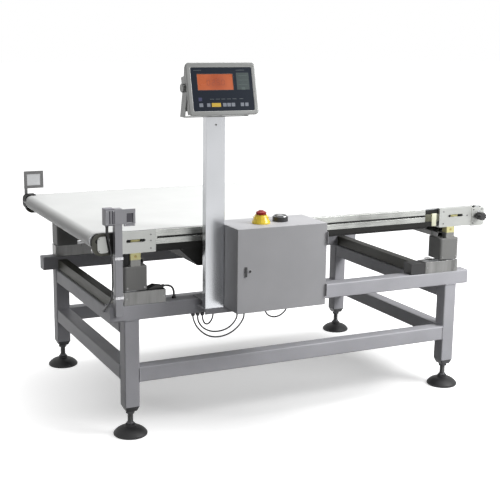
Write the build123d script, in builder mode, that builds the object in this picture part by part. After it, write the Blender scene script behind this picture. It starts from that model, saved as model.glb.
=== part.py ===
from build123d import *
import os
from math import acos, atan2, cos, degrees, pi, radians, sin, tan

# Conveyor belt scale: a belt conveyor carried by four load cell modules on a welded tube frame.
# X runs along the belt, Y from the operator's side to the far side, Z up, all in millimetres.
# The origin is on the floor, under the middle of the whole machine.

# Welded frame
frame_length = 1530.0
frame_width = 1000.0
tube = 60.0
tube_wall = 3.0
tube_corner = 5.0
leg_length = 345.0
lower_rail_rise = 97.0
rail_overhang = 57.0
end_cap = 3.0

# Levelling feet
foot_height = 119.0
pad_diameter = 132.0
pad_rim = 9.0
pad_shoulder = 34.0
pad_neck_diameter = 40.0
pad_neck_height = 43.0
pad_socket_floor = 14.0
spindle_diameter = 22.0
spindle_engagement = 62.0
insert_height = 20.0
insert_plug = 26.0
insert_taper = 26.0
nut_size = 32.0
nut_height = 11.0

# Cable ducts on the side rails
duct_width = 40.0
duct_height = 45.0
duct_wall = 1.5

# Weighing modules
base_length = 168.0
base_height = 50.0
base_wall = 3.0
base_floor = 6.0
cell_pad = 4.0
cell_pad_length = 46.0
cell_length = 148.0
cell_width = 40.0
cell_height = 38.0
cell_bore = 24.0
cell_bore_spacing = 40.0
cell_slot = 7.0
neck_gap = 6.0
cover_size = 95.0
cover_height = 92.0
cover_wall = 2.5
cover_corner = 12.0
foot_plate = 6.0
post_diameter = 26.0
coupling_x = 47.0
coupling_width = 42.0
coupling_depth = 33.0
coupling_height = 51.0
yellow_height = 26.0
coupling_bore = 11.0
carrier_width = 58.0
carrier_height = 20.0
carrier_wall = 2.0
carrier_inset = 32.0
carrier_lift = 2.0

# Belt, rollers and drive drum
roller_span = 1730.0
roller_axis_rise = 55.0
roller_diameter = 54.0
roller_wall = 4.0
hub_length = 14.0
shaft_diameter = 16.0
belt_thickness = 2.0
belt_gap = 0.3
belt_margin = 12.0
roller_margin = 14.0
drum_x = -355.0
drum_rise = -11.0
drum_diameter = 88.0
drum_wall = 5.0
drum_shaft_diameter = 30.0
snub_diameter = 40.0
snub_offset = 80.0
snub_shaft_diameter = 12.0

# Conveyor side frame
side_depth = 10.0
plate_height = 82.0
profile_rise = 28.0
profile_height = 55.0
strip_height = 20.0
strip_depth = 4.0
left_plate_length = 158.0
left_plate_inset = 88.0
right_plate_length = 169.0
profile_gap = 74.0
slot_length = 75.0
slot_height = 11.0
slot_rise = 47.0
plate_flange = 8.0
inner_rail_width = 12.0
inner_rail_height = 40.0
bed_thickness = 3.0
bed_flange = 36.0
cross_tube_diameter = 30.0
cross_tube_wall = 2.5
cap_length = 67.0
cap_radius = 33.0
cap_lead = 20.0
cover_plate = 2.0
cover_plate_margin = 10.0
tail_block_rise = -4.0
tail_block_height = 80.0
tail_block_lead = 26.0
stay_width = 25.0
stay_height = 31.0
stay_inset = 16.0

# Hand knobs at the tail
knob_diameter = 34.0
knob_length = 34.0
knob_neck = 8.0
knob_screw = 8.0
knob_lobes = 8
knob_inset = 8.0
knob_drop = 14.0

# Drive housing under the belt
housing_depth = 78.0
housing_top_half = 195.0
housing_foot_half = 110.0
housing_wall = 2.0
housing_tab_half = 130.0

# Control cabinet
cabinet_left = -394.0
cabinet_width = 378.0
cabinet_depth = 200.0
cabinet_height = 322.0
cabinet_stand_off = 5.0
sheet = 2.0
door_depth = 14.0
door_gap = 0.3
door_flange = 15.0
seal_width = 10.0
hinge_length = 50.0
hinge_inset = 34.0
hinge_pin = 3.0
knuckle_diameter = 6.0
hinge_axis_offset = 3.5
leaf_thickness = 1.5
leaf_length = 22.0
lock_x = 35.0
lock_rise = 159.5
lock_lever_width = 9.0
lock_lever_length = 39.0
lock_lever = 3.0
lock_spindle = 12.0
cam_length = 30.0
cam_width = 12.0
cam_thickness = 3.0

# Inside the cabinet
plate_margin = 20.0
panel_plate = 2.0
panel_stand = 12.0
stand_diameter = 10.0

# Support tray under the cabinet and the column
tray_thickness = 4.0
tray_lip = 20.0
tray_depth = 95.0
tray_left = -475.0

# Indicator column
column_width = 78.0
column_depth = 34.0
column_height = 726.0
column_back = 56.0
column_wall = 3.0
column_corner = 4.0
stay_plate_length = 67.0
stay_plate_reach = 106.0
stay_plate_rise = 110.0

# Indicator
indicator_x = -431.5
indicator_reach = 145.0
indicator_rise = 832.0
indicator_tilt = 14.0
bezel_width = 273.0
bezel_height = 191.0
bezel_depth = 12.0
bezel_corner = 14.0
panel_width = 241.0
panel_height = 158.0
panel_thickness = 3.0
panel_shift = -2.0
lcd_width = 140.0
lcd_height = 58.0
lcd_shift_x = -27.0
lcd_shift_y = 26.0
housing_width = 250.0
housing_back = 60.0
housing_shallow = 44.0
housing_shell = 2.5
pivot_depth = 45.0
pivot_rise = 12.0
arm_thickness = 3.0
arm_radius = 22.0
tilt_screw = 8.0
side_knob_diameter = 30.0
side_knob_length = 14.0

# Emergency stop and push button on the cabinet
panel_hole = 22.3
stop_x = 139.0
stop_reach = 110.0
stop_base_diameter = 70.0
stop_rim_diameter = 46.0
stop_collar_height = 38.0
stop_head_diameter = 38.0
stop_head_height = 14.0
stop_crown = 6.0
stop_travel = 4.0
button_x = 229.0
button_reach = 95.0
button_diameter = 60.0
button_height = 20.0
button_cap_diameter = 46.0
button_cap_height = 24.0
button_lip = 3.0
button_dish = 4.0
button_travel = 3.0
stem_diameter = 16.0

# Photo-eye and reflector at the infeed end
post_size = 28.0
post_left = -806.0
post_foot = 491.0
post_head = 899.0
clamp_height = 10.0
clamp_size = 2.0
clamp_levels = (559.0, 709.0)
eye_left = -842.0
eye_width = 36.0
eye_depth = 40.0
eye_foot = 838.0
eye_height = 62.0
wing_left = -770.0
wing_width = 42.0
bracket_sheet = 3.0
reflector_left = -884.0
reflector_width = 87.0
reflector_foot = 833.0
reflector_height = 77.0
reflector_bar = 13.0
reflector_thickness = 6.0
reflector_post_foot = 745.0

# Cables and glands
cable = 6.0
cell_cable = 8.0
gland_diameter = 16.0
gland_length = 12.0
rail_gland_length = 7.0

# Clearances
running_fit = 0.05
slip_fit = 0.2
thread_fit = 0.1

# Places worked out from the sizes above
lever_gap = 0.3
front_reach = cabinet_stand_off + cabinet_depth + lever_gap + lock_lever
rear_reach = knob_neck + knob_length
front_y = (front_reach - rear_reach - frame_width) / 2
rear_y = front_y + frame_width
mid_y = (front_y + rear_y) / 2
half_frame = frame_length / 2
leg_base = foot_height
leg_top = leg_base + leg_length
rail_top = leg_top + tube
lower_rail_mid = leg_base + lower_rail_rise + tube / 2
rail_half = half_frame + rail_overhang
base_top = rail_top + base_height
cover_base = base_top + neck_gap
cover_top = cover_base + cover_height
conveyor_base = cover_top + coupling_height
plate_top = conveyor_base + plate_height
profile_base = conveyor_base + profile_rise
profile_top = profile_base + profile_height
strip_base = profile_base - strip_height
roller_axis = conveyor_base + roller_axis_rise
roller_half = roller_span / 2
bed_top = roller_axis + roller_diameter / 2
return_run = roller_axis - roller_diameter / 2 - belt_gap - belt_thickness
drum_axis = conveyor_base + drum_rise
snub_axis = return_run - belt_gap - snub_diameter / 2
left_plate_start = -half_frame - 30.0
left_plate_end = left_plate_start + left_plate_length
profile_end = half_frame - profile_gap - 109.0
right_plate_start = profile_end + profile_gap
right_plate_end = right_plate_start + right_plate_length
inner_rail_mid = roller_axis - 1.0
cabinet_base = leg_top + tube / 2 + 9.0
cabinet_top = cabinet_base + cabinet_height
cabinet_right = cabinet_left + cabinet_width
cabinet_back_y = front_y - cabinet_stand_off
cabinet_front_y = cabinet_back_y - cabinet_depth
column_left = cabinet_left - column_width
shell_front_y = cabinet_front_y + door_depth

mid_plane = Plane((0, mid_y, 0), x_dir=(1, 0, 0), z_dir=(0, 1, 0))


def level(z):
    """A level plane at the height z."""
    return Plane((0, 0, z))


def upright(y):
    """A plane that faces the front, with X across and Z up."""
    return Plane((0, y, 0), x_dir=(1, 0, 0), z_dir=(0, -1, 0))


def sideways(x):
    """A plane that faces the outfeed end, with Y across and Z up."""
    return Plane((x, 0, 0), x_dir=(0, 1, 0), z_dir=(1, 0, 0))


def centre(span):
    """The middle of a (low, high) pair."""
    return (span[0] + span[1]) / 2


def bar(x, y, z, mode=Mode.ADD):
    """A rectangular bar between (low, high) pairs along X, Y and Z."""
    with BuildSketch(level(z[0])) as outline:
        with Locations((centre(x), centre(y))):
            Rectangle(x[1] - x[0], y[1] - y[0])
    extrude(outline.sketch, amount=z[1] - z[0], mode=mode)


def disc(x, y, z, diameter, mode=Mode.ADD):
    """An upright round bar with its (low, high) ends along Z."""
    with BuildSketch(level(z[0])) as outline:
        with Locations((x, y)):
            Circle(diameter / 2)
    extrude(outline.sketch, amount=z[1] - z[0], mode=mode)


def cross_disc(x, y, z, diameter, mode=Mode.ADD):
    """A round bar along Y with its (low, high) ends along Y."""
    with BuildSketch(upright(y[1])) as outline:
        with Locations((x, z)):
            Circle(diameter / 2)
    extrude(outline.sketch, amount=y[1] - y[0], mode=mode)


def long_disc(x, y, z, diameter, mode=Mode.ADD):
    """A round bar along X with its (low, high) ends along X."""
    with BuildSketch(sideways(x[0])) as outline:
        with Locations((y, z)):
            Circle(diameter / 2)
    extrude(outline.sketch, amount=x[1] - x[0], mode=mode)


def tube_profile():
    """The rounded square section that the frame is welded from."""
    RectangleRounded(tube, tube, tube_corner)
    inside = tube - 2 * tube_wall
    RectangleRounded(inside, inside, tube_corner - tube_wall, mode=Mode.SUBTRACT)


def both_sides():
    """Repeat what stands at the front on the far side."""
    mirror(about=mid_plane)


def four_corners():
    """Repeat what stands at the front infeed corner at the other three."""
    mirror(about=Plane.YZ)
    mirror(about=mid_plane)


def dome_radius(half_chord, rise):
    """The radius of an arc from an edge to the crown on its axis."""
    return (half_chord ** 2 + rise ** 2) / (2 * rise)


def save(part, name):
    """Label a finished piece and write it."""
    part.label = name
    export_step(part, f"parts/{name}.step")


# Frame legs
with BuildPart() as legs:
    with BuildSketch(Plane((0, mid_y, leg_base))):
        with GridLocations(frame_length - tube, frame_width - tube, 2, 2):
            tube_profile()
    extrude(amount=leg_length)
save(legs.part, "legs")

# Side rails between the legs, at the foot and at the top
side_rail_mids = (lower_rail_mid, leg_top - tube / 2)
with BuildPart() as side_rails:
    with BuildSketch(upright(rear_y - tube)):
        for height in side_rail_mids:
            with Locations((-half_frame + tube / 2, height), (half_frame - tube / 2, height)):
                tube_profile()
    extrude(amount=frame_width - 2 * tube)
save(side_rails.part, "side_rails")

# Long rails low down between the legs
with BuildPart() as lower_rails:
    with BuildSketch(sideways(-half_frame + tube)):
        with Locations((front_y + tube / 2, lower_rail_mid), (rear_y - tube / 2, lower_rail_mid)):
            tube_profile()
    extrude(amount=frame_length - 2 * tube)
save(lower_rails.part, "lower_long_rails")

# Long rails on top of the legs, closed by welded end caps
with BuildPart() as top_rails:
    with BuildSketch(sideways(-rail_half + end_cap)):
        with Locations((front_y + tube / 2, leg_top + tube / 2), (rear_y - tube / 2, leg_top + tube / 2)):
            tube_profile()
    extrude(amount=2 * (rail_half - end_cap))
    with BuildSketch(sideways(-rail_half), sideways(rail_half - end_cap)):
        with Locations((front_y + tube / 2, leg_top + tube / 2), (rear_y - tube / 2, leg_top + tube / 2)):
            RectangleRounded(tube, tube, tube_corner)
    extrude(amount=end_cap)
save(top_rails.part, "top_rails")

# Cable ducts on the side rails
duct_span = (front_y + tube, rear_y - tube)
with BuildPart() as cable_ducts:
    with BuildSketch(upright(duct_span[1])):
        with Locations((-half_frame + tube / 2, leg_top + duct_height / 2)):
            Rectangle(duct_width, duct_height)
            Rectangle(duct_width - 2 * duct_wall, duct_height - 2 * duct_wall, mode=Mode.SUBTRACT)
    extrude(amount=duct_span[1] - duct_span[0])
    mirror(about=Plane.YZ)
save(cable_ducts.part, "cable_ducts")

# Threaded inserts in the leg ends, with a lock nut under each
plug_size = tube - 2 * tube_wall - 2 * slip_fit
nut_base = leg_base - insert_height - thread_fit - nut_height
with BuildPart() as foot_fittings:
    with BuildSketch(Plane((-half_frame + tube / 2, front_y + tube / 2, leg_base))):
        RectangleRounded(plug_size, plug_size, tube_corner - tube_wall)
    extrude(amount=insert_plug)
    with BuildSketch(Plane((-half_frame + tube / 2, front_y + tube / 2, leg_base))):
        RectangleRounded(tube, tube, tube_corner)
    extrude(amount=-insert_height, taper=insert_taper)
    with BuildSketch(Plane((-half_frame + tube / 2, front_y + tube / 2, nut_base))):
        RegularPolygon(nut_size / 2, 6, major_radius=False)
    extrude(amount=nut_height)
    with BuildSketch(Plane((-half_frame + tube / 2, front_y + tube / 2, nut_base))):
        Circle(spindle_diameter / 2 + thread_fit)
    extrude(amount=nut_height + thread_fit + insert_height + insert_plug, mode=Mode.SUBTRACT)
    four_corners()
save(foot_fittings.part, "foot_fittings")


def levelling_foot(x, y):
    """A domed pad, and the spindle that stands in its socket."""
    socket = spindle_diameter / 2 + slip_fit
    with BuildPart() as foot:
        with BuildSketch(Plane((x, y, 0), x_dir=(1, 0, 0), z_dir=(0, -1, 0))):
            with BuildLine():
                Polyline((0, pad_socket_floor), (0, 0), (pad_diameter / 2 - 3, 0), (pad_diameter / 2, 3),
                         (pad_diameter / 2, pad_rim))
                RadiusArc((pad_diameter / 2, pad_rim), (pad_neck_diameter / 2 + 4, pad_shoulder), -58)
                Polyline((pad_neck_diameter / 2 + 4, pad_shoulder), (pad_neck_diameter / 2, pad_shoulder + 2),
                         (pad_neck_diameter / 2, pad_neck_height), (socket, pad_neck_height),
                         (socket, pad_socket_floor), (0, pad_socket_floor))
            make_face()
        revolve(axis=Axis((x, y, 0), (0, 0, 1)))
        spindle_foot = pad_socket_floor + slip_fit
        disc(x, y, (spindle_foot, leg_base + spindle_engagement), spindle_diameter)
    return foot.part


# Four levelling feet
for end_name, foot_x in (("left", -half_frame + tube / 2), ("right", half_frame - tube / 2)):
    for side_name, foot_y in (("front", front_y + tube / 2), ("rear", rear_y - tube / 2)):
        save(levelling_foot(foot_x, foot_y), f"foot_{side_name}_{end_name}")

# Open-topped bases of the weighing modules
base_x = (-half_frame, -half_frame + base_length)
base_y = (front_y, front_y + tube)
cell_x = (-half_frame + base_wall + 5.0, -half_frame + base_wall + 5.0 + cell_length)
with BuildPart() as module_bases:
    bar(base_x, base_y, (rail_top, base_top))
    fillet(module_bases.edges().filter_by(Axis.Z), base_wall)
    bar((base_x[0] + base_wall, base_x[1] - base_wall), (base_y[0] + base_wall, base_y[1] - base_wall),
        (rail_top + base_floor, base_top), mode=Mode.SUBTRACT)
    bar((cell_x[1] - cell_pad_length, cell_x[1]),
        (front_y + tube / 2 - cell_width / 2, front_y + tube / 2 + cell_width / 2),
        (rail_top + base_floor, rail_top + base_floor + cell_pad))
    four_corners()
save(module_bases.part, "module_bases")

# Load cells: beams with a double bore, each with the foot plate and post on its free end
cell_base = rail_top + base_floor + cell_pad
cell_top = cell_base + cell_height
cell_mid = centre(cell_x)
plate_span = cover_size - 2 * cover_wall - 2 * slip_fit - 2.0
coupling_mid_x = -half_frame + coupling_x
coupling_mid_y = front_y + coupling_depth / 2
with BuildPart() as load_cells:
    with BuildSketch(upright(front_y + tube / 2)):
        with Locations((cell_mid, cell_base + cell_height / 2)):
            Rectangle(cell_length, cell_height)
            SlotCenterToCenter(cell_bore_spacing, cell_slot, mode=Mode.SUBTRACT)
            with GridLocations(cell_bore_spacing, 1, 2, 1):
                Circle(cell_bore / 2, mode=Mode.SUBTRACT)
    extrude(amount=cell_width / 2, both=True)
    bar((cell_x[0], cell_x[0] + cell_pad_length),
        (front_y + tube / 2 - cell_width / 2, front_y + tube / 2 + cell_width / 2),
        (cell_top, cover_base))
    with BuildSketch(Plane((-half_frame + cover_size / 2, front_y + cover_size / 2, cover_base))):
        RectangleRounded(plate_span, plate_span, cover_corner - cover_wall)
    extrude(amount=foot_plate)
    disc(coupling_mid_x, coupling_mid_y, (cover_base + foot_plate, cover_top), post_diameter)
    four_corners()
save(load_cells.part, "load_cells")

# Rounded covers over the load posts
with BuildPart() as module_covers:
    cover_centre = (-half_frame + cover_size / 2, front_y + cover_size / 2)
    with BuildSketch(Plane((*cover_centre, cover_base))):
        RectangleRounded(cover_size, cover_size, cover_corner)
    extrude(amount=cover_height)
    fillet(module_covers.faces().sort_by(Axis.Z)[-1].edges(), cover_wall * 1.5)
    with BuildSketch(Plane((*cover_centre, cover_base))):
        RectangleRounded(cover_size - 2 * cover_wall, cover_size - 2 * cover_wall, cover_corner - cover_wall)
    extrude(amount=cover_height - cover_wall, mode=Mode.SUBTRACT)
    disc(coupling_mid_x, coupling_mid_y, (cover_top - 2 * cover_wall, cover_top),
         post_diameter + 2 * slip_fit, mode=Mode.SUBTRACT)
    four_corners()
save(module_covers.part, "module_covers")

# Couplings between the load posts and the conveyor
coupling_span_x = (coupling_mid_x - coupling_width / 2, coupling_mid_x + coupling_width / 2)
coupling_span_y = (front_y, front_y + coupling_depth)
yellow_base = conveyor_base - yellow_height
with BuildPart() as coupling_blocks:
    bar(coupling_span_x, coupling_span_y, (cover_top, yellow_base))
    chamfer(coupling_blocks.edges().filter_by(Axis.Z), 2.0)
    four_corners()
save(coupling_blocks.part, "coupling_blocks")

# Yellow isolating blocks, and the two distance pieces beside the tail plates
stay_start = right_plate_start - stay_inset - stay_width
with BuildPart() as yellow_spacers:
    bar(coupling_span_x, coupling_span_y, (yellow_base, conveyor_base))
    fillet(yellow_spacers.edges().filter_by(Axis.Z), 3.0)
    cross_disc(coupling_mid_x, coupling_span_y, yellow_base + yellow_height / 2, coupling_bore,
               mode=Mode.SUBTRACT)
    four_corners()
    bar((stay_start, stay_start + stay_width), (front_y, front_y + side_depth),
        (profile_base, profile_base + stay_height))
    bar((stay_start, stay_start + stay_width), (rear_y - side_depth, rear_y),
        (profile_base, profile_base + stay_height))
save(yellow_spacers.part, "yellow_spacers")

# Carrier bars that tie the front and rear couplings together
carrier_mid_x = -half_frame + carrier_inset + carrier_width / 2
carrier_base = cover_top + carrier_lift
with BuildPart() as carrier_bars:
    with BuildSketch(upright(rear_y - coupling_depth)):
        with Locations((carrier_mid_x, carrier_base + carrier_height / 2)):
            Rectangle(carrier_width, carrier_height)
            Rectangle(carrier_width - 2 * carrier_wall, carrier_height - 2 * carrier_wall,
                      mode=Mode.SUBTRACT)
    extrude(amount=frame_width - 2 * coupling_depth)
    mirror(about=Plane.YZ)
save(carrier_bars.part, "carrier_bars")

# Bright side profiles with a groove along the outer face
profile_start = left_plate_end
groove_height = 8.0
groove_depth = 3.0
groove_rise = 26.0
with BuildPart() as side_profiles:
    bar((profile_start, profile_end), (front_y, front_y + side_depth), (profile_base, profile_top))
    fillet(side_profiles.edges().filter_by(Axis.X).group_by(Axis.Y)[0], 1.5)
    bar((profile_start, profile_end), (front_y, front_y + groove_depth),
        (profile_base + groove_rise - groove_height / 2, profile_base + groove_rise + groove_height / 2),
        mode=Mode.SUBTRACT)
    both_sides()
save(side_profiles.part, "side_profiles")

# Dark strips under the profiles
with BuildPart() as side_strips:
    bar((profile_start, right_plate_start), (front_y, front_y + strip_depth), (strip_base, profile_base))
    both_sides()
save(side_strips.part, "side_strips")


def end_plate(start, end):
    """A slotted side plate with a foot flange that stands on its coupling."""
    bar((start, end), (front_y, front_y + side_depth), (conveyor_base, plate_top))
    bar((start, end), (front_y, front_y + coupling_depth), (conveyor_base, conveyor_base + plate_flange))
    with BuildSketch(upright(front_y + side_depth)) as slot:
        with Locations((centre((start, end)) - slot_shift, conveyor_base + slot_rise)):
            SlotOverall(slot_length, slot_height)
    extrude(slot.sketch, amount=side_depth, mode=Mode.SUBTRACT)


# Stainless end plates, and the cover plates on the nose caps
slot_shift = 0.0
cap_start = -roller_half - cap_lead
cap_end = cap_start + cap_length
with BuildPart() as end_plates:
    end_plate(left_plate_start, left_plate_end)
    end_plate(right_plate_start, right_plate_end)
    with BuildSketch(upright(front_y)):
        with Locations((centre((cap_start, cap_end)) + cover_plate_margin, centre((conveyor_base, plate_top)))):
            RectangleRounded(cap_length - 2 * cover_plate_margin, plate_height - 2 * cover_plate_margin,
                             cap_radius / 2)
    extrude(amount=cover_plate)
    both_sides()
save(end_plates.part, "end_plates")

# Black nose caps with a round front, bored for the nose shaft
with BuildPart() as nose_caps:
    with BuildSketch(upright(front_y + side_depth)):
        with Locations((centre((cap_start, cap_end)), centre((conveyor_base, plate_top)))):
            nose_outline = Rectangle(cap_length, plate_height)
        fillet(nose_outline.vertices().group_by(Axis.X)[0], cap_radius)
        with Locations((-roller_half, roller_axis)):
            Circle(shaft_diameter / 2 + running_fit, mode=Mode.SUBTRACT)
    extrude(amount=side_depth)
    both_sides()
save(nose_caps.part, "nose_caps")

# Tail blocks, bored for the tail shaft and tapped for the hand knob
tail_start = right_plate_end
tail_end = roller_half + tail_block_lead
knob_x = roller_half - knob_inset
knob_axis = roller_axis - knob_drop
tail_base = conveyor_base + tail_block_rise
with BuildPart() as tail_blocks:
    bar((tail_start, tail_end), (front_y, front_y + side_depth), (tail_base, tail_base + tail_block_height))
    fillet(tail_blocks.edges().filter_by(Axis.Y).group_by(Axis.X)[-1], 10.0)
    with BuildSketch(upright(front_y + side_depth)):
        with Locations((roller_half, roller_axis)):
            Circle(shaft_diameter / 2 + running_fit)
        with Locations((knob_x, knob_axis)):
            Circle(knob_screw / 2 + thread_fit)
    extrude(amount=side_depth, mode=Mode.SUBTRACT)
    both_sides()
save(tail_blocks.part, "tail_blocks")


def hand_knob(face_y, outward):
    """A lobed knob on a screw, outside the plane face_y. outward is -1 at the front."""
    away = Plane((knob_x, face_y, knob_axis), x_dir=(1, 0, 0), z_dir=(0, outward, 0))
    with BuildPart() as knob:
        with BuildSketch(away.offset(door_gap)):
            Circle(knob_diameter * 0.3)
        extrude(amount=knob_neck - door_gap)
        with BuildSketch(away.offset(knob_neck)):
            Circle(knob_diameter / 2)
            with PolarLocations(knob_diameter / 2 + 2.0, knob_lobes):
                Circle(4.5, mode=Mode.SUBTRACT)
        extrude(amount=knob_length)
        fillet(knob.faces().sort_by(Axis.Y)[-1 if outward > 0 else 0].edges(), 1.5)
        with BuildSketch(away.offset(-side_depth + 1.0)):
            Circle(knob_screw / 2)
        extrude(amount=side_depth)
    return knob.part


save(hand_knob(front_y, -1), "front_knob")
save(hand_knob(rear_y, 1), "rear_knob")

# Inner rails that join plates, profiles and blocks
inner_rail_half = roller_half - roller_diameter / 2 - 4.0
with BuildPart() as inner_rails:
    bar((-inner_rail_half, inner_rail_half), (front_y + side_depth, front_y + side_depth + inner_rail_width),
        (inner_rail_mid - inner_rail_height / 2, inner_rail_mid + inner_rail_height / 2))
    both_sides()
save(inner_rails.part, "inner_rails")

# Fixed shafts and cross tubes between the two sides
inner_face = front_y + side_depth + inner_rail_width
snub_places = (drum_x - snub_offset, drum_x + snub_offset)
shaft_end = 1.0
with BuildPart() as cross_members:
    with BuildSketch(upright(rear_y - shaft_end)):
        with Locations((-roller_half, roller_axis), (roller_half, roller_axis)):
            Circle(shaft_diameter / 2)
    extrude(amount=frame_width - 2 * shaft_end)
    with BuildSketch(upright(rear_y - strip_depth - shaft_end)):
        for snub_x in snub_places:
            with Locations((snub_x, snub_axis)):
                Circle(snub_shaft_diameter / 2)
        with Locations((drum_x, drum_axis)):
            Circle(drum_shaft_diameter / 2)
    extrude(amount=frame_width - 2 * (strip_depth + shaft_end))
    with BuildSketch(upright(rear_y - side_depth - inner_rail_width)):
        with Locations((0, inner_rail_mid)):
            with GridLocations(380.0, 1, 4, 1):
                Circle(cross_tube_diameter / 2)
                Circle(cross_tube_diameter / 2 - cross_tube_wall, mode=Mode.SUBTRACT)
    extrude(amount=frame_width - 2 * (side_depth + inner_rail_width))
save(cross_members.part, "cross_members")

# Slider bed under the carrying run of the belt
bed_half = inner_rail_half
with BuildPart() as slider_bed:
    bar((-bed_half, bed_half), (front_y + belt_margin, rear_y - belt_margin),
        (bed_top - bed_thickness, bed_top))
    bar((-bed_half, bed_half), (inner_face, inner_face + bed_thickness),
        (bed_top - bed_flange, bed_top - bed_thickness))
    bar((-bed_half, bed_half),
        (rear_y - side_depth - inner_rail_width - bed_thickness, rear_y - side_depth - inner_rail_width),
        (bed_top - bed_flange, bed_top - bed_thickness))
    for tube_x in (-570.0, -190.0, 190.0, 570.0):
        with BuildSketch(upright(rear_y)) as relief:
            with Locations((tube_x, inner_rail_mid)):
                Circle(cross_tube_diameter / 2 + slip_fit)
        extrude(relief.sketch, amount=frame_width, mode=Mode.SUBTRACT)
save(slider_bed.part, "slider_bed")


def roller(x, z, diameter, wall, bore):
    """A tube with a bearing hub in each end, free on its fixed shaft."""
    ends = (front_y + roller_margin, rear_y - roller_margin)
    with BuildPart() as body:
        cross_disc(x, ends, z, diameter)
        cross_disc(x, (ends[0] + hub_length, ends[1] - hub_length), z, diameter - 2 * wall,
                   mode=Mode.SUBTRACT)
        cross_disc(x, ends, z, bore + 2 * running_fit, mode=Mode.SUBTRACT)
    return body.part


save(roller(-roller_half, roller_axis, roller_diameter, roller_wall, shaft_diameter), "nose_roller")
save(roller(roller_half, roller_axis, roller_diameter, roller_wall, shaft_diameter), "tail_roller")
save(roller(snub_places[0], snub_axis, snub_diameter, roller_wall, snub_shaft_diameter), "left_snub_roller")
save(roller(snub_places[1], snub_axis, snub_diameter, roller_wall, snub_shaft_diameter), "right_snub_roller")
save(roller(drum_x, drum_axis, drum_diameter, drum_wall, drum_shaft_diameter), "drive_drum")


def on_circle(x, z, radius, angle):
    """The point on a circle at an angle in degrees."""
    return (x + radius * cos(radians(angle)), z + radius * sin(radians(angle)))


def belt_loop(skin):
    """One face of the belt, skin millimetres out from its inner face, as a closed outline."""
    wrap = roller_diameter / 2 + belt_gap + skin
    drum_wrap = drum_diameter / 2 + belt_gap + skin
    snub_wrap = snub_diameter / 2 + belt_gap + belt_thickness - skin
    dx = snub_offset
    dz = snub_axis - drum_axis
    reach = (dx * dx + dz * dz) ** 0.5
    lean = degrees(atan2(dz, dx))
    leave = 180 + lean - degrees(acos((drum_wrap + snub_wrap) / reach))
    low = roller_axis - wrap
    right_x = drum_x + snub_offset
    left_x = drum_x - snub_offset
    right_leave = on_circle(right_x, snub_axis, snub_wrap, leave)
    right_meet = on_circle(drum_x, drum_axis, drum_wrap, leave - 180)
    left_meet = (2 * drum_x - right_meet[0], right_meet[1])
    left_leave = (2 * drum_x - right_leave[0], right_leave[1])
    with BuildLine() as loop:
        Line((-roller_half, roller_axis + wrap), (roller_half, roller_axis + wrap))
        CenterArc((roller_half, roller_axis), wrap, 90, -180)
        Line((roller_half, low), (right_x, low))
        CenterArc((right_x, snub_axis), snub_wrap, 90, leave - 90)
        Line(right_leave, right_meet)
        CenterArc((drum_x, drum_axis), drum_wrap, leave - 180, -(2 * leave - 180))
        Line(left_meet, left_leave)
        CenterArc((left_x, snub_axis), snub_wrap, 180 - leave, leave - 90)
        Line((left_x, low), (-roller_half, low))
        CenterArc((-roller_half, roller_axis), wrap, 270, -180)
    return loop.line


# Endless belt, round both end rollers and down over the drive drum
belt_outer = belt_loop(belt_thickness)
belt_inner = belt_loop(0.0)
with BuildPart() as belt:
    with BuildSketch(upright(rear_y - belt_margin)) as belt_section:
        add(belt_outer)
        make_face()
        with BuildSketch(mode=Mode.SUBTRACT):
            add(belt_inner)
            make_face()
    extrude(amount=frame_width - 2 * belt_margin)
save(belt.part, "belt")

# Drive housing: two hanging side plates joined by a folded pan
housing_foot = strip_base - housing_depth


def housing_outline(inset, rise):
    """The trapezoid of the drive housing, inset by a wall and raised above its rim."""
    Polygon((drum_x - housing_top_half + inset, strip_base + rise),
            (drum_x - housing_foot_half + inset / 2, housing_foot + inset),
            (drum_x + housing_foot_half - inset / 2, housing_foot + inset),
            (drum_x + housing_top_half - inset, strip_base + rise), align=None)


with BuildPart() as drive_housing:
    with BuildSketch(upright(rear_y - strip_depth)) as housing_face:
        housing_outline(0.0, 0.0)
    extrude(amount=frame_width - 2 * strip_depth)
    with BuildSketch(upright(rear_y - side_depth)) as pan_face:
        housing_outline(housing_wall, 1.0)
    extrude(amount=frame_width - 2 * side_depth, mode=Mode.SUBTRACT)
    bar((drum_x - housing_tab_half, drum_x + housing_tab_half),
        (front_y + strip_depth, front_y + side_depth), (strip_base, profile_base))
    bar((drum_x - housing_tab_half, drum_x + housing_tab_half),
        (rear_y - side_depth, rear_y - strip_depth), (strip_base, profile_base))
    with BuildSketch(upright(rear_y - strip_depth)) as shaft_bores:
        for snub_x in snub_places:
            with Locations((snub_x, snub_axis)):
                Circle(snub_shaft_diameter / 2 + running_fit)
        with Locations((drum_x, drum_axis)):
            Circle(drum_shaft_diameter / 2 + running_fit)
    extrude(amount=frame_width - 2 * strip_depth, mode=Mode.SUBTRACT)
save(drive_housing.part, "drive_housing")

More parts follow.
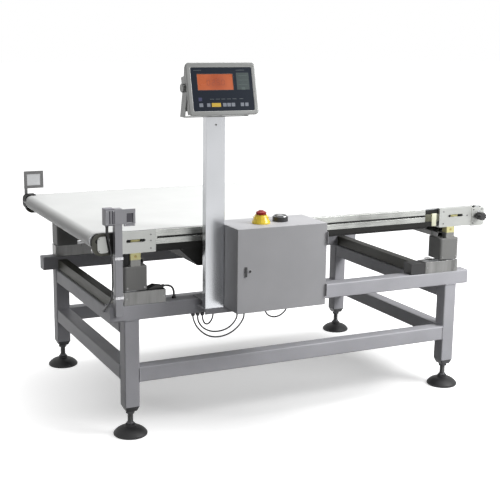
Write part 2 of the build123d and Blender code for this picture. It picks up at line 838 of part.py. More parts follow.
# Folded tray on the front rail, with the stay that steadies the column
tray_x = (tray_left, cabinet_right)
column_mid_x = column_left + column_width / 2
column_y = (front_y - column_back - column_depth, front_y - column_back)
stay_x = (column_mid_x - stay_plate_length / 2, column_mid_x + stay_plate_length / 2)
with BuildPart() as support_tray:
    bar(tray_x, (front_y - tray_depth, front_y), (cabinet_base - tray_thickness, cabinet_base))
    bar(tray_x, (front_y - tray_depth, front_y - tray_depth + tray_thickness),
        (cabinet_base - tray_lip, cabinet_base - tray_thickness))
    bar(tray_x, (front_y - tray_thickness, front_y), (cabinet_base - tray_lip, cabinet_base - tray_thickness))
    bar(stay_x, (column_y[1], column_y[1] + stay_plate_reach), (rail_top, rail_top + tray_thickness))
    bar(stay_x, (column_y[1], column_y[1] + tray_thickness), (rail_top, rail_top + stay_plate_rise))
    disc(stay_gland_x := column_mid_x, front_y - 73.0, (cabinet_base - tray_thickness, cabinet_base),
         gland_diameter - 4.0, mode=Mode.SUBTRACT)
save(support_tray.part, "support_tray")

# Indicator column
with BuildPart() as column:
    with BuildSketch(Plane((column_mid_x, centre(column_y), cabinet_base))):
        RectangleRounded(column_width, column_depth, column_corner)
        RectangleRounded(column_width - 2 * column_wall, column_depth - 2 * column_wall,
                         column_corner - column_wall + 0.5, mode=Mode.SUBTRACT)
    extrude(amount=column_height)
save(column.part, "column")

# Gland places, each with the centre of its hole in X and Y
outer_gland = (-331.0, front_y - 135.0)
inner_gland = (-356.0, front_y - 125.0)
loop_glands = ((-229.0, front_y - 110.0), (-138.0, front_y - 115.0))
cabinet_glands = (outer_gland, inner_gland, *loop_glands)
rail_glands = ((-481.0, front_y + 12.0), (-461.0, front_y + 12.0), (-443.0, front_y + 8.0))
column_gland = (column_mid_x, front_y - 73.0)
gland_hole = gland_diameter - 4.0
stop_centre = (cabinet_left + stop_x, cabinet_back_y - stop_reach)
button_centre = (cabinet_left + button_x, cabinet_back_y - button_reach)

# Cabinet shell, open at the front inside a return flange
cabinet_x = (cabinet_left, cabinet_right)
cabinet_z = (cabinet_base, cabinet_top)
hinge_levels = (cabinet_base + hinge_inset, cabinet_top - hinge_inset - hinge_length)
hinge_x = cabinet_right + hinge_axis_offset
hinge_y = shell_front_y - door_gap / 2
knuckle_length = hinge_length / 3


def hinge_leaf(z, direction, knuckles, edge_y):
    """A leaf on the cabinet's side, with its knuckles round the hinge axis."""
    leaf_x = (cabinet_right, cabinet_right + leaf_thickness)
    near = edge_y + direction * (knuckle_diameter / 2 + 1.0)
    far = edge_y + direction * leaf_length
    bar(leaf_x, (min(near, far), max(near, far)), z)
    for start, end in knuckles:
        span = (min(edge_y, near), max(edge_y, near))
        bar(leaf_x, span, (z[0] + start, z[0] + end))
        disc(hinge_x, hinge_y, (z[0] + start, z[0] + end), knuckle_diameter)


with BuildPart() as cabinet_shell:
    bar(cabinet_x, (shell_front_y, cabinet_back_y), cabinet_z)
    fillet(cabinet_shell.edges().filter_by(Axis.Y), 3.0)
    bar((cabinet_x[0] + sheet, cabinet_x[1] - sheet), (shell_front_y + sheet, cabinet_back_y - sheet),
        (cabinet_z[0] + sheet, cabinet_z[1] - sheet), mode=Mode.SUBTRACT)
    bar((cabinet_x[0] + door_flange, cabinet_x[1] - door_flange), (shell_front_y, shell_front_y + sheet),
        (cabinet_z[0] + door_flange, cabinet_z[1] - door_flange), mode=Mode.SUBTRACT)
    for gland_place in cabinet_glands:
        disc(*gland_place, (cabinet_base, cabinet_base + sheet), gland_hole, mode=Mode.SUBTRACT)
    for place in (stop_centre, button_centre):
        disc(*place, (cabinet_top - sheet, cabinet_top), panel_hole, mode=Mode.SUBTRACT)
    for low in hinge_levels:
        hinge_leaf((low, low + hinge_length), 1,
                   ((0, knuckle_length), (2 * knuckle_length, hinge_length)), hinge_y)
        disc(hinge_x, hinge_y, (low, low + hinge_length), hinge_pin)
save(cabinet_shell.part, "cabinet_shell")

# Cabinet door, a shallow tray that swings on the two side hinges
door_y = (cabinet_front_y, shell_front_y - door_gap)
lock_place = (cabinet_left + lock_x, cabinet_base + lock_rise)
with BuildPart() as cabinet_door:
    bar(cabinet_x, door_y, cabinet_z)
    fillet(cabinet_door.edges().filter_by(Axis.Y), 3.0)
    fillet(cabinet_door.faces().sort_by(Axis.Y)[0].edges(), 1.5)
    bar((cabinet_x[0] + sheet, cabinet_x[1] - sheet), (door_y[0] + sheet, door_y[1]),
        (cabinet_z[0] + sheet, cabinet_z[1] - sheet), mode=Mode.SUBTRACT)
    cross_disc(lock_place[0], door_y, lock_place[1], lock_spindle + 2 * running_fit, mode=Mode.SUBTRACT)
    for low in hinge_levels:
        middle = (knuckle_length + slip_fit, 2 * knuckle_length - slip_fit)
        hinge_leaf((low, low + hinge_length), -1, (middle,), hinge_y - door_gap / 2)
        disc(hinge_x, hinge_y, (low, low + hinge_length), hinge_pin + 2 * running_fit, mode=Mode.SUBTRACT)
save(cabinet_door.part, "cabinet_door")

# Foam seal round the door's inner face
seal_inset = 3.0
with BuildPart() as door_seal:
    with BuildSketch(upright(door_y[1] - door_gap)):
        with Locations((centre(cabinet_x), centre(cabinet_z))):
            Rectangle(cabinet_width - 2 * (sheet + seal_inset), cabinet_height - 2 * (sheet + seal_inset))
            Rectangle(cabinet_width - 2 * (sheet + seal_inset + seal_width),
                      cabinet_height - 2 * (sheet + seal_inset + seal_width), mode=Mode.SUBTRACT)
    extrude(amount=door_depth - 2 * door_gap - sheet)
save(door_seal.part, "door_seal")

# Quarter-turn lock: lever, spindle and the cam behind the return flange
cam_front = shell_front_y + sheet + 0.8
with BuildPart() as door_lock:
    with BuildSketch(upright(cabinet_front_y - lever_gap)):
        with Locations(lock_place):
            SlotOverall(lock_lever_length, lock_lever_width, rotation=90)
    extrude(amount=lock_lever)
    cross_disc(lock_place[0], (cabinet_front_y - lever_gap, cam_front), lock_place[1], lock_spindle)
    with BuildSketch(upright(cam_front + cam_thickness)):
        with Locations((lock_place[0], lock_place[1] - cam_length / 2 + cam_width / 4)):
            SlotOverall(cam_length + cam_width / 2, cam_width, rotation=90)
    extrude(amount=cam_thickness)
save(door_lock.part, "door_lock")

# Mounting plate on four stand-offs at the back of the cabinet
plate_y = (cabinet_back_y - sheet - panel_stand - panel_plate, cabinet_back_y - sheet - panel_stand)
with BuildPart() as mounting_plate:
    bar((cabinet_x[0] + plate_margin, cabinet_x[1] - plate_margin), plate_y,
        (cabinet_z[0] + plate_margin, cabinet_z[1] - plate_margin))
    with BuildSketch(upright(cabinet_back_y - sheet)):
        with Locations((centre(cabinet_x), centre(cabinet_z))):
            with GridLocations(cabinet_width - 4 * plate_margin, cabinet_height - 4 * plate_margin, 2, 2):
                Circle(stand_diameter / 2)
    extrude(amount=panel_stand)
save(mounting_plate.part, "mounting_plate")

# Motor inverter, power supply, breakers and terminals on the mounting plate
device_left = cabinet_x[0] + plate_margin + 20.0
device_top = cabinet_z[1] - plate_margin - 20.0
rail_depth = 8.0
with BuildPart() as control_devices:
    inverter_x = (device_left, device_left + 90.0)
    bar(inverter_x, (plate_y[0] - 95.0, plate_y[0]), (device_top - 170.0, device_top))
    for fin in range(6):
        fin_x = inverter_x[0] + 10.0 + fin * 14.0
        bar((fin_x, fin_x + 5.0), (plate_y[0] - 60.0, plate_y[0] - 10.0), (device_top - 8.0, device_top),
            mode=Mode.SUBTRACT)
    for row_top, widths, depth in ((device_top - 10.0, (45.0, 18.0, 18.0, 18.0, 18.0), 62.0),
                                   (device_top - 150.0, (8.0, 8.0, 8.0, 8.0, 8.0, 8.0, 8.0, 8.0), 44.0)):
        row_left = inverter_x[1] + 25.0
        bar((row_left - 5.0, row_left + 170.0), (plate_y[0] - rail_depth, plate_y[0]),
            (row_top - 60.0, row_top - 25.0))
        place = row_left
        for width in widths:
            bar((place, place + width - 0.6), (plate_y[0] - rail_depth - depth, plate_y[0] - rail_depth),
                (row_top - 84.0, row_top))
            place += width
save(control_devices.part, "control_devices")

# Cable glands, and the black connection boots beside the modules
boot_x = (-half_frame + 100.0, -half_frame + 162.0)
boot_height = 15.0
cell_gland_z = base_top + 6.5
lead_gland = (-half_frame + 217.0, front_y + 42.0)
eye_gland = (eye_left + 11.0, front_y - 10.0)
duct_gland = (-half_frame - 4.0, front_y + 95.0, leg_top + 27.0)
junction_x = (half_frame - 240.0, half_frame - base_length - 0.3)
with BuildPart() as cable_glands:
    for gland_place in cabinet_glands:
        with BuildSketch(Plane((*gland_place, cabinet_base - gland_length))):
            RegularPolygon(gland_diameter / 2, 6, major_radius=False)
            Circle(cable / 2, mode=Mode.SUBTRACT)
        extrude(amount=gland_length)
        with BuildSketch(Plane((*gland_place, cabinet_base))):
            Circle(gland_hole / 2 - running_fit)
            Circle(cable / 2, mode=Mode.SUBTRACT)
        extrude(amount=2 * sheet)
    for gland_place in rail_glands:
        with BuildSketch(Plane((*gland_place, leg_top - rail_gland_length))):
            RegularPolygon(gland_diameter / 2, 6, major_radius=False)
            Circle(cable / 2, mode=Mode.SUBTRACT)
        extrude(amount=rail_gland_length)
    with BuildSketch(Plane((*column_gland, cabinet_base - tray_thickness - gland_length))):
        RegularPolygon(gland_diameter / 2, 6, major_radius=False)
        Circle(cable / 2, mode=Mode.SUBTRACT)
    extrude(amount=gland_length)
    with BuildSketch(Plane((*lead_gland, rail_top))):
        RegularPolygon(gland_diameter / 2, 6, major_radius=False)
    extrude(amount=rail_gland_length)
    with BuildSketch(upright(front_y + tube / 2)):
        with BuildLine():
            Polyline((boot_x[0], base_top), (boot_x[1], base_top), (boot_x[1], base_top + boot_height * 0.6),
                     (boot_x[0] + 28.0, base_top + boot_height), (boot_x[0], base_top + 4.0),
                     (boot_x[0], base_top))
        make_face()
    extrude(amount=cell_width / 2 - 2.0, both=True)
    long_disc((boot_x[1], boot_x[1] + 8.0), front_y + tube / 2, cell_gland_z, 12.0)
    disc(*eye_gland, (eye_foot - 5.0, eye_foot), 12.0)
    long_disc((duct_gland[0], -half_frame + tube / 2 - duct_width / 2), duct_gland[1], duct_gland[2], 14.0)
    bar(junction_x, (front_y + 2.0, front_y + tube - 2.0), (rail_top, base_top - 2.0))
    bar(junction_x, (rear_y - tube + 2.0, rear_y - 2.0), (rail_top, base_top - 2.0))
save(cable_glands.part, "cable_glands")

# Yellow guard collar of the emergency stop
with BuildPart() as estop_shroud:
    with BuildSketch(Plane((*stop_centre, 0), x_dir=(1, 0, 0), z_dir=(0, -1, 0))):
        bore = stem_diameter / 2 + running_fit
        with BuildLine():
            Polyline((bore, cabinet_top), (stop_base_diameter / 2, cabinet_top),
                     (stop_base_diameter / 2, cabinet_top + 5.0),
                     (stop_rim_diameter / 2, cabinet_top + stop_collar_height - 8.0),
                     (stop_rim_diameter / 2 - 4.0, cabinet_top + stop_collar_height - 8.0),
                     (bore, cabinet_top + stop_collar_height - 12.0), (bore, cabinet_top))
        make_face()
    revolve(axis=Axis((*stop_centre, 0), (0, 0, 1)))
    disc(*stop_centre, (cabinet_top - 40.0, cabinet_top), panel_hole - 2 * slip_fit)
    disc(*stop_centre, (cabinet_top - 46.0, cabinet_top), stem_diameter + 2 * running_fit,
         mode=Mode.SUBTRACT)
save(estop_shroud.part, "estop_shroud")

# Red mushroom head on its plunger
head_base = cabinet_top + stop_collar_height - 8.0 + stop_travel + 0.5
with BuildPart() as estop_head:
    with BuildSketch(Plane((*stop_centre, 0), x_dir=(1, 0, 0), z_dir=(0, -1, 0))):
        with BuildLine():
            Polyline((0, head_base), (stop_head_diameter / 2, head_base),
                     (stop_head_diameter / 2, head_base + stop_head_height - stop_crown))
            RadiusArc((stop_head_diameter / 2, head_base + stop_head_height - stop_crown),
                      (0, head_base + stop_head_height), -dome_radius(stop_head_diameter / 2, stop_crown))
            Line((0, head_base + stop_head_height), (0, head_base))
        make_face()
    revolve(axis=Axis((*stop_centre, 0), (0, 0, 1)))
    disc(*stop_centre, (cabinet_top - 30.0, head_base), stem_diameter)
save(estop_head.part, "estop_head")

# Black collar of the push button
with BuildPart() as button_collar:
    with BuildSketch(level(cabinet_top)):
        with Locations(button_centre):
            Circle(button_diameter / 2)
    extrude(amount=button_height)
    fillet(button_collar.faces().sort_by(Axis.Z)[-1].edges(), 4.0)
    disc(*button_centre, (cabinet_top + 8.0, cabinet_top + button_height),
         button_cap_diameter + 2 * slip_fit, mode=Mode.SUBTRACT)
    disc(*button_centre, (cabinet_top - 32.0, cabinet_top + 8.0), panel_hole - 2 * slip_fit)
    disc(*button_centre, (cabinet_top - 40.0, cabinet_top + 8.0), stem_diameter + 2 * running_fit,
         mode=Mode.SUBTRACT)
save(button_collar.part, "button_collar")

# Dished button cap
cap_base = cabinet_top + 8.0 + button_travel + 0.5
dish_radius = button_cap_diameter / 2 - button_lip
with BuildPart() as button_cap:
    with BuildSketch(Plane((*button_centre, 0), x_dir=(1, 0, 0), z_dir=(0, -1, 0))):
        with BuildLine():
            Polyline((0, cap_base), (button_cap_diameter / 2, cap_base),
                     (button_cap_diameter / 2, cabinet_top + button_cap_height),
                     (dish_radius, cabinet_top + button_cap_height))
            RadiusArc((dish_radius, cabinet_top + button_cap_height),
                      (0, cabinet_top + button_cap_height - button_dish), dome_radius(dish_radius, button_dish))
            Line((0, cabinet_top + button_cap_height - button_dish), (0, cap_base))
        make_face()
    revolve(axis=Axis((*button_centre, 0), (0, 0, 1)))
    disc(*button_centre, (cabinet_top - 26.0, cap_base), stem_diameter)
save(button_cap.part, "button_cap")

# Indicator, tilted back on the side screws of its bracket
tilt = radians(indicator_tilt)
indicator_centre = Vector(indicator_x, front_y - indicator_reach, cabinet_base + indicator_rise)
face_normal = Vector(0, -cos(tilt), sin(tilt))
face_up = Vector(0, sin(tilt), cos(tilt))
face = Plane(indicator_centre, x_dir=(1, 0, 0), z_dir=face_normal)
side_view = Plane(indicator_centre, x_dir=face_normal, z_dir=(-1, 0, 0))
pivot = indicator_centre - face_normal * pivot_depth + face_up * pivot_rise
half_housing = housing_width / 2
back_outline = ((-bezel_depth + 1.0, 88.0), (-housing_shallow, 88.0), (-housing_back, 40.0),
                (-housing_back, -30.0), (-housing_shallow - 4.0, -86.0), (-bezel_depth + 1.0, -86.0))
with BuildPart() as indicator_housing:
    with BuildSketch(side_view):
        back_shape = Polygon(*back_outline, align=None)
        fillet(back_shape.vertices().group_by(Axis.X)[0], 10.0)
    extrude(amount=half_housing, both=True)
    with BuildSketch(face.offset(-bezel_depth)):
        RectangleRounded(bezel_width, bezel_height, bezel_corner)
    extrude(amount=bezel_depth)
    fillet(indicator_housing.faces().sort_by(Axis(indicator_centre, face_normal))[-1].edges(), 4.0)
    with BuildSketch(side_view):
        offset(Polygon(*back_outline, align=None, mode=Mode.PRIVATE), -housing_shell)
    extrude(amount=half_housing - housing_shell, both=True, mode=Mode.SUBTRACT)
    with BuildSketch(face.offset(-bezel_depth)):
        Rectangle(housing_width - 2 * housing_shell - 12.0, panel_height - 12.0)
    extrude(amount=bezel_depth, mode=Mode.SUBTRACT)
    with BuildSketch(face):
        with Locations((0, panel_shift)):
            RectangleRounded(panel_width, panel_height, 5.0)
    extrude(amount=-panel_thickness, mode=Mode.SUBTRACT)
    long_disc((indicator_x - half_housing - 1.0, indicator_x + half_housing + 1.0), pivot.Y, pivot.Z,
              tilt_screw + 2 * running_fit, mode=Mode.SUBTRACT)
save(indicator_housing.part, "indicator_housing")

# Dark front panel with a window for the display
with BuildPart() as indicator_panel:
    with BuildSketch(face.offset(-panel_thickness)):
        with Locations((0, panel_shift)):
            RectangleRounded(panel_width - 2 * slip_fit, panel_height - 2 * slip_fit, 5.0 - slip_fit)
        with Locations((lcd_shift_x, panel_shift + lcd_shift_y)):
            Rectangle(lcd_width, lcd_height, mode=Mode.SUBTRACT)
    extrude(amount=panel_thickness - 0.5)
save(indicator_panel.part, "indicator_panel")

# Lit display behind the window
with BuildPart() as indicator_lcd:
    with BuildSketch(face.offset(-panel_thickness - 5.0)):
        with Locations((lcd_shift_x, panel_shift + lcd_shift_y)):
            Rectangle(lcd_width - 2 * slip_fit, lcd_height - 2 * slip_fit)
    extrude(amount=5.0 + panel_thickness - 1.2)
save(indicator_lcd.part, "indicator_lcd")

# Indicator bracket: a folded yoke on the column head with two side knobs
bracket_base = cabinet_base + column_height
arm_inner = half_housing + 0.3
arm_outer = arm_inner + arm_thickness
with BuildPart() as indicator_bracket:
    bar((indicator_x - arm_outer, indicator_x + arm_outer), (column_y[0] - 4.0, column_y[1] + 4.0),
        (bracket_base, bracket_base + arm_thickness))
    for side in (-1, 1):
        start = indicator_x + side * arm_inner
        arm_plane = Plane((start, 0, 0), x_dir=(0, 1, 0), z_dir=(1, 0, 0))
        with BuildSketch(arm_plane):
            make_hull_of = [(column_y[0] - 4.0, bracket_base), (column_y[1] + 4.0, bracket_base)]
            with Locations((pivot.Y, pivot.Z)):
                Circle(arm_radius)
            Polygon((column_y[0] - 4.0, bracket_base), (column_y[1] + 4.0, bracket_base),
                    (pivot.Y + arm_radius, pivot.Z), (pivot.Y - arm_radius, pivot.Z), align=None)
        extrude(amount=side * arm_thickness)
    for side in (-1, 1):
        outside = indicator_x + side * arm_outer
        inside = indicator_x + side * (half_housing - housing_shell - 6.0)
        tip = outside + side * side_knob_length
        long_disc((min(outside, tip), max(outside, tip)), pivot.Y, pivot.Z, side_knob_diameter)
        long_disc((min(outside, inside), max(outside, inside)), pivot.Y, pivot.Z, tilt_screw)
save(indicator_bracket.part, "indicator_bracket")

# Photo-eye stand on the front rail: post, two clamps and the eye bracket
post_x = (post_left, post_left + post_size)
post_y = (front_y - post_size, front_y)
with BuildPart() as sensor_stand:
    bar(post_x, post_y, (post_foot, post_head))
    bar((post_x[0] + sheet, post_x[1] - sheet), (post_y[0] + sheet, post_y[1] - sheet),
        (post_foot, post_head - sheet), mode=Mode.SUBTRACT)
    for clamp_z in clamp_levels:
        with BuildSketch(level(clamp_z)) as clamp:
            with Locations((centre(post_x), centre(post_y))):
                Rectangle(post_size + 2 * clamp_size, post_size + 2 * clamp_size)
                Rectangle(post_size, post_size, mode=Mode.SUBTRACT)
        extrude(clamp.sketch, amount=clamp_height)
    bar((eye_left, wing_left + wing_width), (post_y[0] - bracket_sheet, post_y[0]),
        (eye_foot + 4.0, post_head - 2.0))
    bar((wing_left, wing_left + wing_width), (post_y[0], post_y[0] + 8.0), (eye_foot - 5.0, post_head - 4.0))
    bar((wing_left + 8.0, wing_left + wing_width - 8.0), (post_y[0] - bracket_sheet, post_y[0] + 8.0),
        (eye_foot + 7.0, post_head - 16.0), mode=Mode.SUBTRACT)
save(sensor_stand.part, "sensor_stand")

# Photo-eye on the bracket, looking across the belt
with BuildPart() as sensor_head:
    bar((eye_left, eye_left + eye_width - 0.4), (post_y[0], post_y[0] + eye_depth), (eye_foot, eye_foot + eye_height))
    fillet(sensor_head.edges().filter_by(Axis.Z), 3.0)
    cross_disc(eye_left + eye_width / 2, (post_y[0] + eye_depth - 1.0, post_y[0] + eye_depth),
               eye_foot + eye_height * 0.62, 20.0, mode=Mode.SUBTRACT)
save(sensor_head.part, "sensor_head")

# Reflector frame on the far nose cap
reflector_y = (rear_y + 0.0, rear_y + reflector_thickness)
reflector_x = (reflector_left, reflector_left + reflector_width)
reflector_z = (reflector_foot, reflector_foot + reflector_height)
with BuildPart() as reflector_stand:
    bar((reflector_left + 1.0, reflector_left + 1.0 + reflector_bar), reflector_y,
        (reflector_post_foot, reflector_foot))
    bar(reflector_x, reflector_y, reflector_z)
    bar((reflector_x[0] + reflector_bar, reflector_x[1] - reflector_bar), reflector_y,
        (reflector_z[0] + reflector_bar, reflector_z[1] - reflector_bar), mode=Mode.SUBTRACT)
save(reflector_stand.part, "reflector_stand")

# Reflector panels: one in the far frame, one in the wing beside the eye
with BuildPart() as reflector_panels:
    bar((reflector_x[0] + reflector_bar, reflector_x[1] - reflector_bar),
        (reflector_y[0] + 2.0, reflector_y[1] - 1.0),
        (reflector_z[0] + reflector_bar, reflector_z[1] - reflector_bar))
    bar((wing_left + 8.0, wing_left + wing_width - 8.0), (post_y[0], post_y[0] + 6.0),
        (eye_foot + 7.0, post_head - 16.0))
save(reflector_panels.part, "reflector_panels")


def bend_radii(points):
    """The radius at each inner point: as large as the two runs beside it allow."""
    radii = []
    for before, here, after in zip(points, points[1:], points[2:]):
        run_in = Vector(*here) - Vector(*before)
        run_out = Vector(*after) - Vector(*here)
        turn = radians(run_in.get_angle(run_out))
        radii.append(0.45 * min(run_in.length, run_out.length) / tan(turn / 2))
    return radii


def cord(name, diameter, points):
    """A cable along straight runs joined by tangent arcs."""
    radii = bend_radii(points)
    print(name, "smallest radius", round(min(radii), 1), "mm")
    with BuildPart() as lead:
        with BuildLine() as route:
            FilletPolyline(*points, radius=radii)
        path = route.wire()
        with BuildSketch(Plane(path @ 0, z_dir=path % 0)):
            Circle(diameter / 2)
        sweep(path=path)
    section = pi * diameter ** 2 / 4
    print(name, "volume over section times length", round(lead.part.volume / (section * path.length), 4))
    save(lead.part, name)


def from_front(points):
    """Cable points with their Y counted from the frame's front face."""
    return [(x, front_y + y, z) for x, y, z in points]


# Two long loops from the front rail to the cabinet
rail_face = leg_top - rail_gland_length
cabinet_face = cabinet_base - gland_length
cord("outer_loop", cable, from_front([
    (-481, 12, rail_face), (-481, 12, 430), (-474, 0, 408), (-460, -22, 391), (-440, -46, 382),
    (-415, -70, 381), (-388, -93, 391), (-362, -112, 412), (-342, -127, 438), (-331, -135, 468),
    (-331, -135, cabinet_face)]))
cord("inner_loop", cable, from_front([
    (-461, 12, rail_face), (-461, 12, 438), (-457, 0, 421), (-445, -22, 408), (-426, -47, 402),
    (-404, -73, 405), (-382, -95, 418), (-366, -113, 441), (-356, -125, 469),
    (-356, -125, cabinet_face)]))

# Short lead from the front rail up into the column
cord("column_lead", cable, from_front([
    (-443, 8, rail_face), (-443, 8, 444), (-442.5, 1, 432), (-442, -12, 424.5), (-441, -28, 425),
    (-439, -43, 431), (-436.5, -56, 442), (-434, -66, 456), (-433, -73, 472),
    (-433, -73, cabinet_base - tray_thickness - gland_length)]))

# Small loop under the cabinet
cord("cabinet_loop", cable, from_front([
    (-229, -110, cabinet_face), (-229, -110, 477), (-221, -110.5, 462), (-205, -111, 451), (-185, -112, 447),
    (-165, -113, 452), (-148, -114, 463), (-138, -115, 477), (-138, -115, cabinet_face)]))

# Load cell lead from the boot down into the front rail
cord("cell_lead", cell_cable, from_front([
    (-595, 30, cell_gland_z), (-578, 30, cell_gland_z), (-563, 32, 574), (-553, 37.5, 562), (-548, 42, 547),
    (-548, 42, rail_top + rail_gland_length)]))

# Photo-eye lead down beside the post, round the rail end and into the cable duct
cord("sensor_lead", cable, from_front([
    (-831, -10, eye_foot - 5.0), (-831, -10, 815), (-827, -11, 787), (-820, -12, 757), (-815, -13, 725),
    (-813.5, -14, 685), (-813, -14, 639), (-813.5, -13, 597), (-815, -9, 569), (-818, 2, 545),
    (-826, 18, 523), (-831, 38, 505), (-830, 60, 494), (-820, 80, 490), (-803, 92, 490),
    (-786, 95, 491), (-769, 95, 491)]))
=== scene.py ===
"""Looks of a conveyor belt scale: camera and studio, cables, fine pieces, fasteners and finishes."""

from math import cos, pi, radians, sin

import bmesh
import bpy
from mathutils import Euler, Matrix, Vector


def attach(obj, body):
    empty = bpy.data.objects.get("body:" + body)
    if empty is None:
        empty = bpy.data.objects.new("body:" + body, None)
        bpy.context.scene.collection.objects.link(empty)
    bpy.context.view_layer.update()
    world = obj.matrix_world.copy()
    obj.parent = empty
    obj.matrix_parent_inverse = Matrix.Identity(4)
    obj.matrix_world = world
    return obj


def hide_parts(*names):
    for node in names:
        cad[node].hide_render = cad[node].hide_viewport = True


bl_info = {
    "name": "Conveyor belt scale",
    "version": (1, 0, 0),
    "blender": (4, 5, 0),
    "location": "3D View > Sidebar > Belt Scale",
    "description": "Dresses the packed conveyor belt scale with cables, fine pieces and finishes",
    "category": "Object",
}

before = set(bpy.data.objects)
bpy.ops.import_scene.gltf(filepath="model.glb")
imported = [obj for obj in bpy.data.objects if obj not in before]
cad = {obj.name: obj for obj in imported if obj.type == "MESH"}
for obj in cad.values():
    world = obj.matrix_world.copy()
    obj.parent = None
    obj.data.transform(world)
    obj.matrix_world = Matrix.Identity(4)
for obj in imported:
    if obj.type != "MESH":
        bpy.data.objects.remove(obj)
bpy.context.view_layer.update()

MACHINE = "machine"
FRONT = -0.41685  # the frame's front face, in metres
DEPTH = 1000  # from there to the frame's far face, in millimetres
LEG_X = 735  # the legs' axes right and left of the middle
LEG_Y = (30, 970)  # the legs' axes behind the front face
UP = (0, 0, 1)
TO_FRONT = (0, -1, 0)
TO_REAR = (0, 1, 0)


# Settings that a user would change


def power_of(name, default, description):
    """A lamp's power."""
    return bpy.props.FloatProperty(name=name, description=description, default=default, unit="POWER")


def length_of(name, default, description):
    """A length in metres."""
    return bpy.props.FloatProperty(name=name, description=description, default=default, unit="LENGTH")


def colour_of(name, default, description):
    """A colour, as red, green and blue."""
    return bpy.props.FloatVectorProperty(
        name=name, description=description, default=default, size=3, subtype="COLOR", min=0.0, max=1.0)


class StudioSettings(bpy.types.PropertyGroup):
    """Camera, lamps and surroundings."""

    focal_length: bpy.props.FloatProperty(
        name="Focal length", description="Lens on a 36 mm sensor, in millimetres", default=75.27, min=10.0)
    camera_place: bpy.props.FloatVectorProperty(
        name="Camera place", description="Where the camera stands", default=(-2.0012, -4.0261, 1.5476),
        size=3, subtype="TRANSLATION", unit="LENGTH")
    key_power: power_of("Key lamp", 62.0, "Power of the lamp at the front right")
    fill_power: power_of("Fill lamp", 14.0, "Power of the large lamp at the front")
    top_power: power_of("Top lamp", 74.0, "Power of the lamp above")
    sky_level: bpy.props.FloatProperty(
        name="Sky level", description="How bright the surroundings light the machine", default=0.22, min=0.0)


class CableSettings(bpy.types.PropertyGroup):
    """Sizes and colour of the cables."""

    signal_diameter: length_of("Signal cable", 0.006, "Diameter of the thin cables")
    cell_diameter: length_of("Load cell cable", 0.008, "Diameter of the load cell's cable")
    jacket: colour_of("Jacket", (0.018, 0.018, 0.02), "Colour of the cable jackets")


class FinishSettings(bpy.types.PropertyGroup):
    """Colours of the large surfaces."""

    frame_colour: colour_of("Frame", (0.46, 0.46, 0.49), "Colour of the welded frame")
    cabinet_colour: colour_of("Cabinet", (0.42, 0.42, 0.435), "Colour of the control cabinet")
    belt_colour: colour_of("Belt", (0.72, 0.73, 0.72), "Colour of the belt's cover")


SETTINGS = (
    ("belt_scale_studio", StudioSettings),
    ("belt_scale_cables", CableSettings),
    ("belt_scale_finish", FinishSettings),
)


def settings(name):
    """The settings group of that name."""
    return getattr(bpy.context.scene, name)


# Materials


def feed(tree, socket, value):
    """Join another node's output to a socket, or give the socket a value."""
    if isinstance(value, bpy.types.NodeSocket):
        tree.links.new(value, socket)
    else:
        socket.default_value = value


def node(tree, kind, *feeds, **values):
    """A shader node. Feeds and capital names go to its inputs, small names are its own options."""
    made = tree.nodes.new("ShaderNode" + kind)
    for name, value in values.items():
        if name[0].islower():
            setattr(made, name, value)
        else:
            feed(tree, made.inputs[name.replace("_", " ")], value)
    for socket, value in zip(made.inputs, feeds):
        feed(tree, socket, value)
    return made


def ramp(tree, value, start, end, low=0.0, high=1.0):
    """A value carried from start and end to low and high."""
    made = node(tree, "MapRange", Value=value, From_Min=start, From_Max=end, To_Min=low, To_Max=high)
    return made.outputs["Result"]


def blend(tree, factor, first, second, **options):
    """A mix of two colours."""
    made = node(tree, "Mix", data_type="RGBA", **options, Factor=factor, A=first, B=second)
    return made.outputs["Result"]


def place_in(tree):
    """The place on the object itself, in metres."""
    return node(tree, "TexCoord").outputs["Object"]


def pattern_place(tree, stretch):
    """Object coordinates stretched for a pattern, alike in all directions or by three factors."""
    factors = stretch if isinstance(stretch, tuple) else (stretch,) * 3
    return node(tree, "Mapping", Vector=place_in(tree), Scale=factors).outputs["Vector"]


def shade_of(colour, factor):
    """A lighter or darker shade of a colour."""
    return tuple(min(1.0, channel * factor) for channel in colour) + (1.0,)


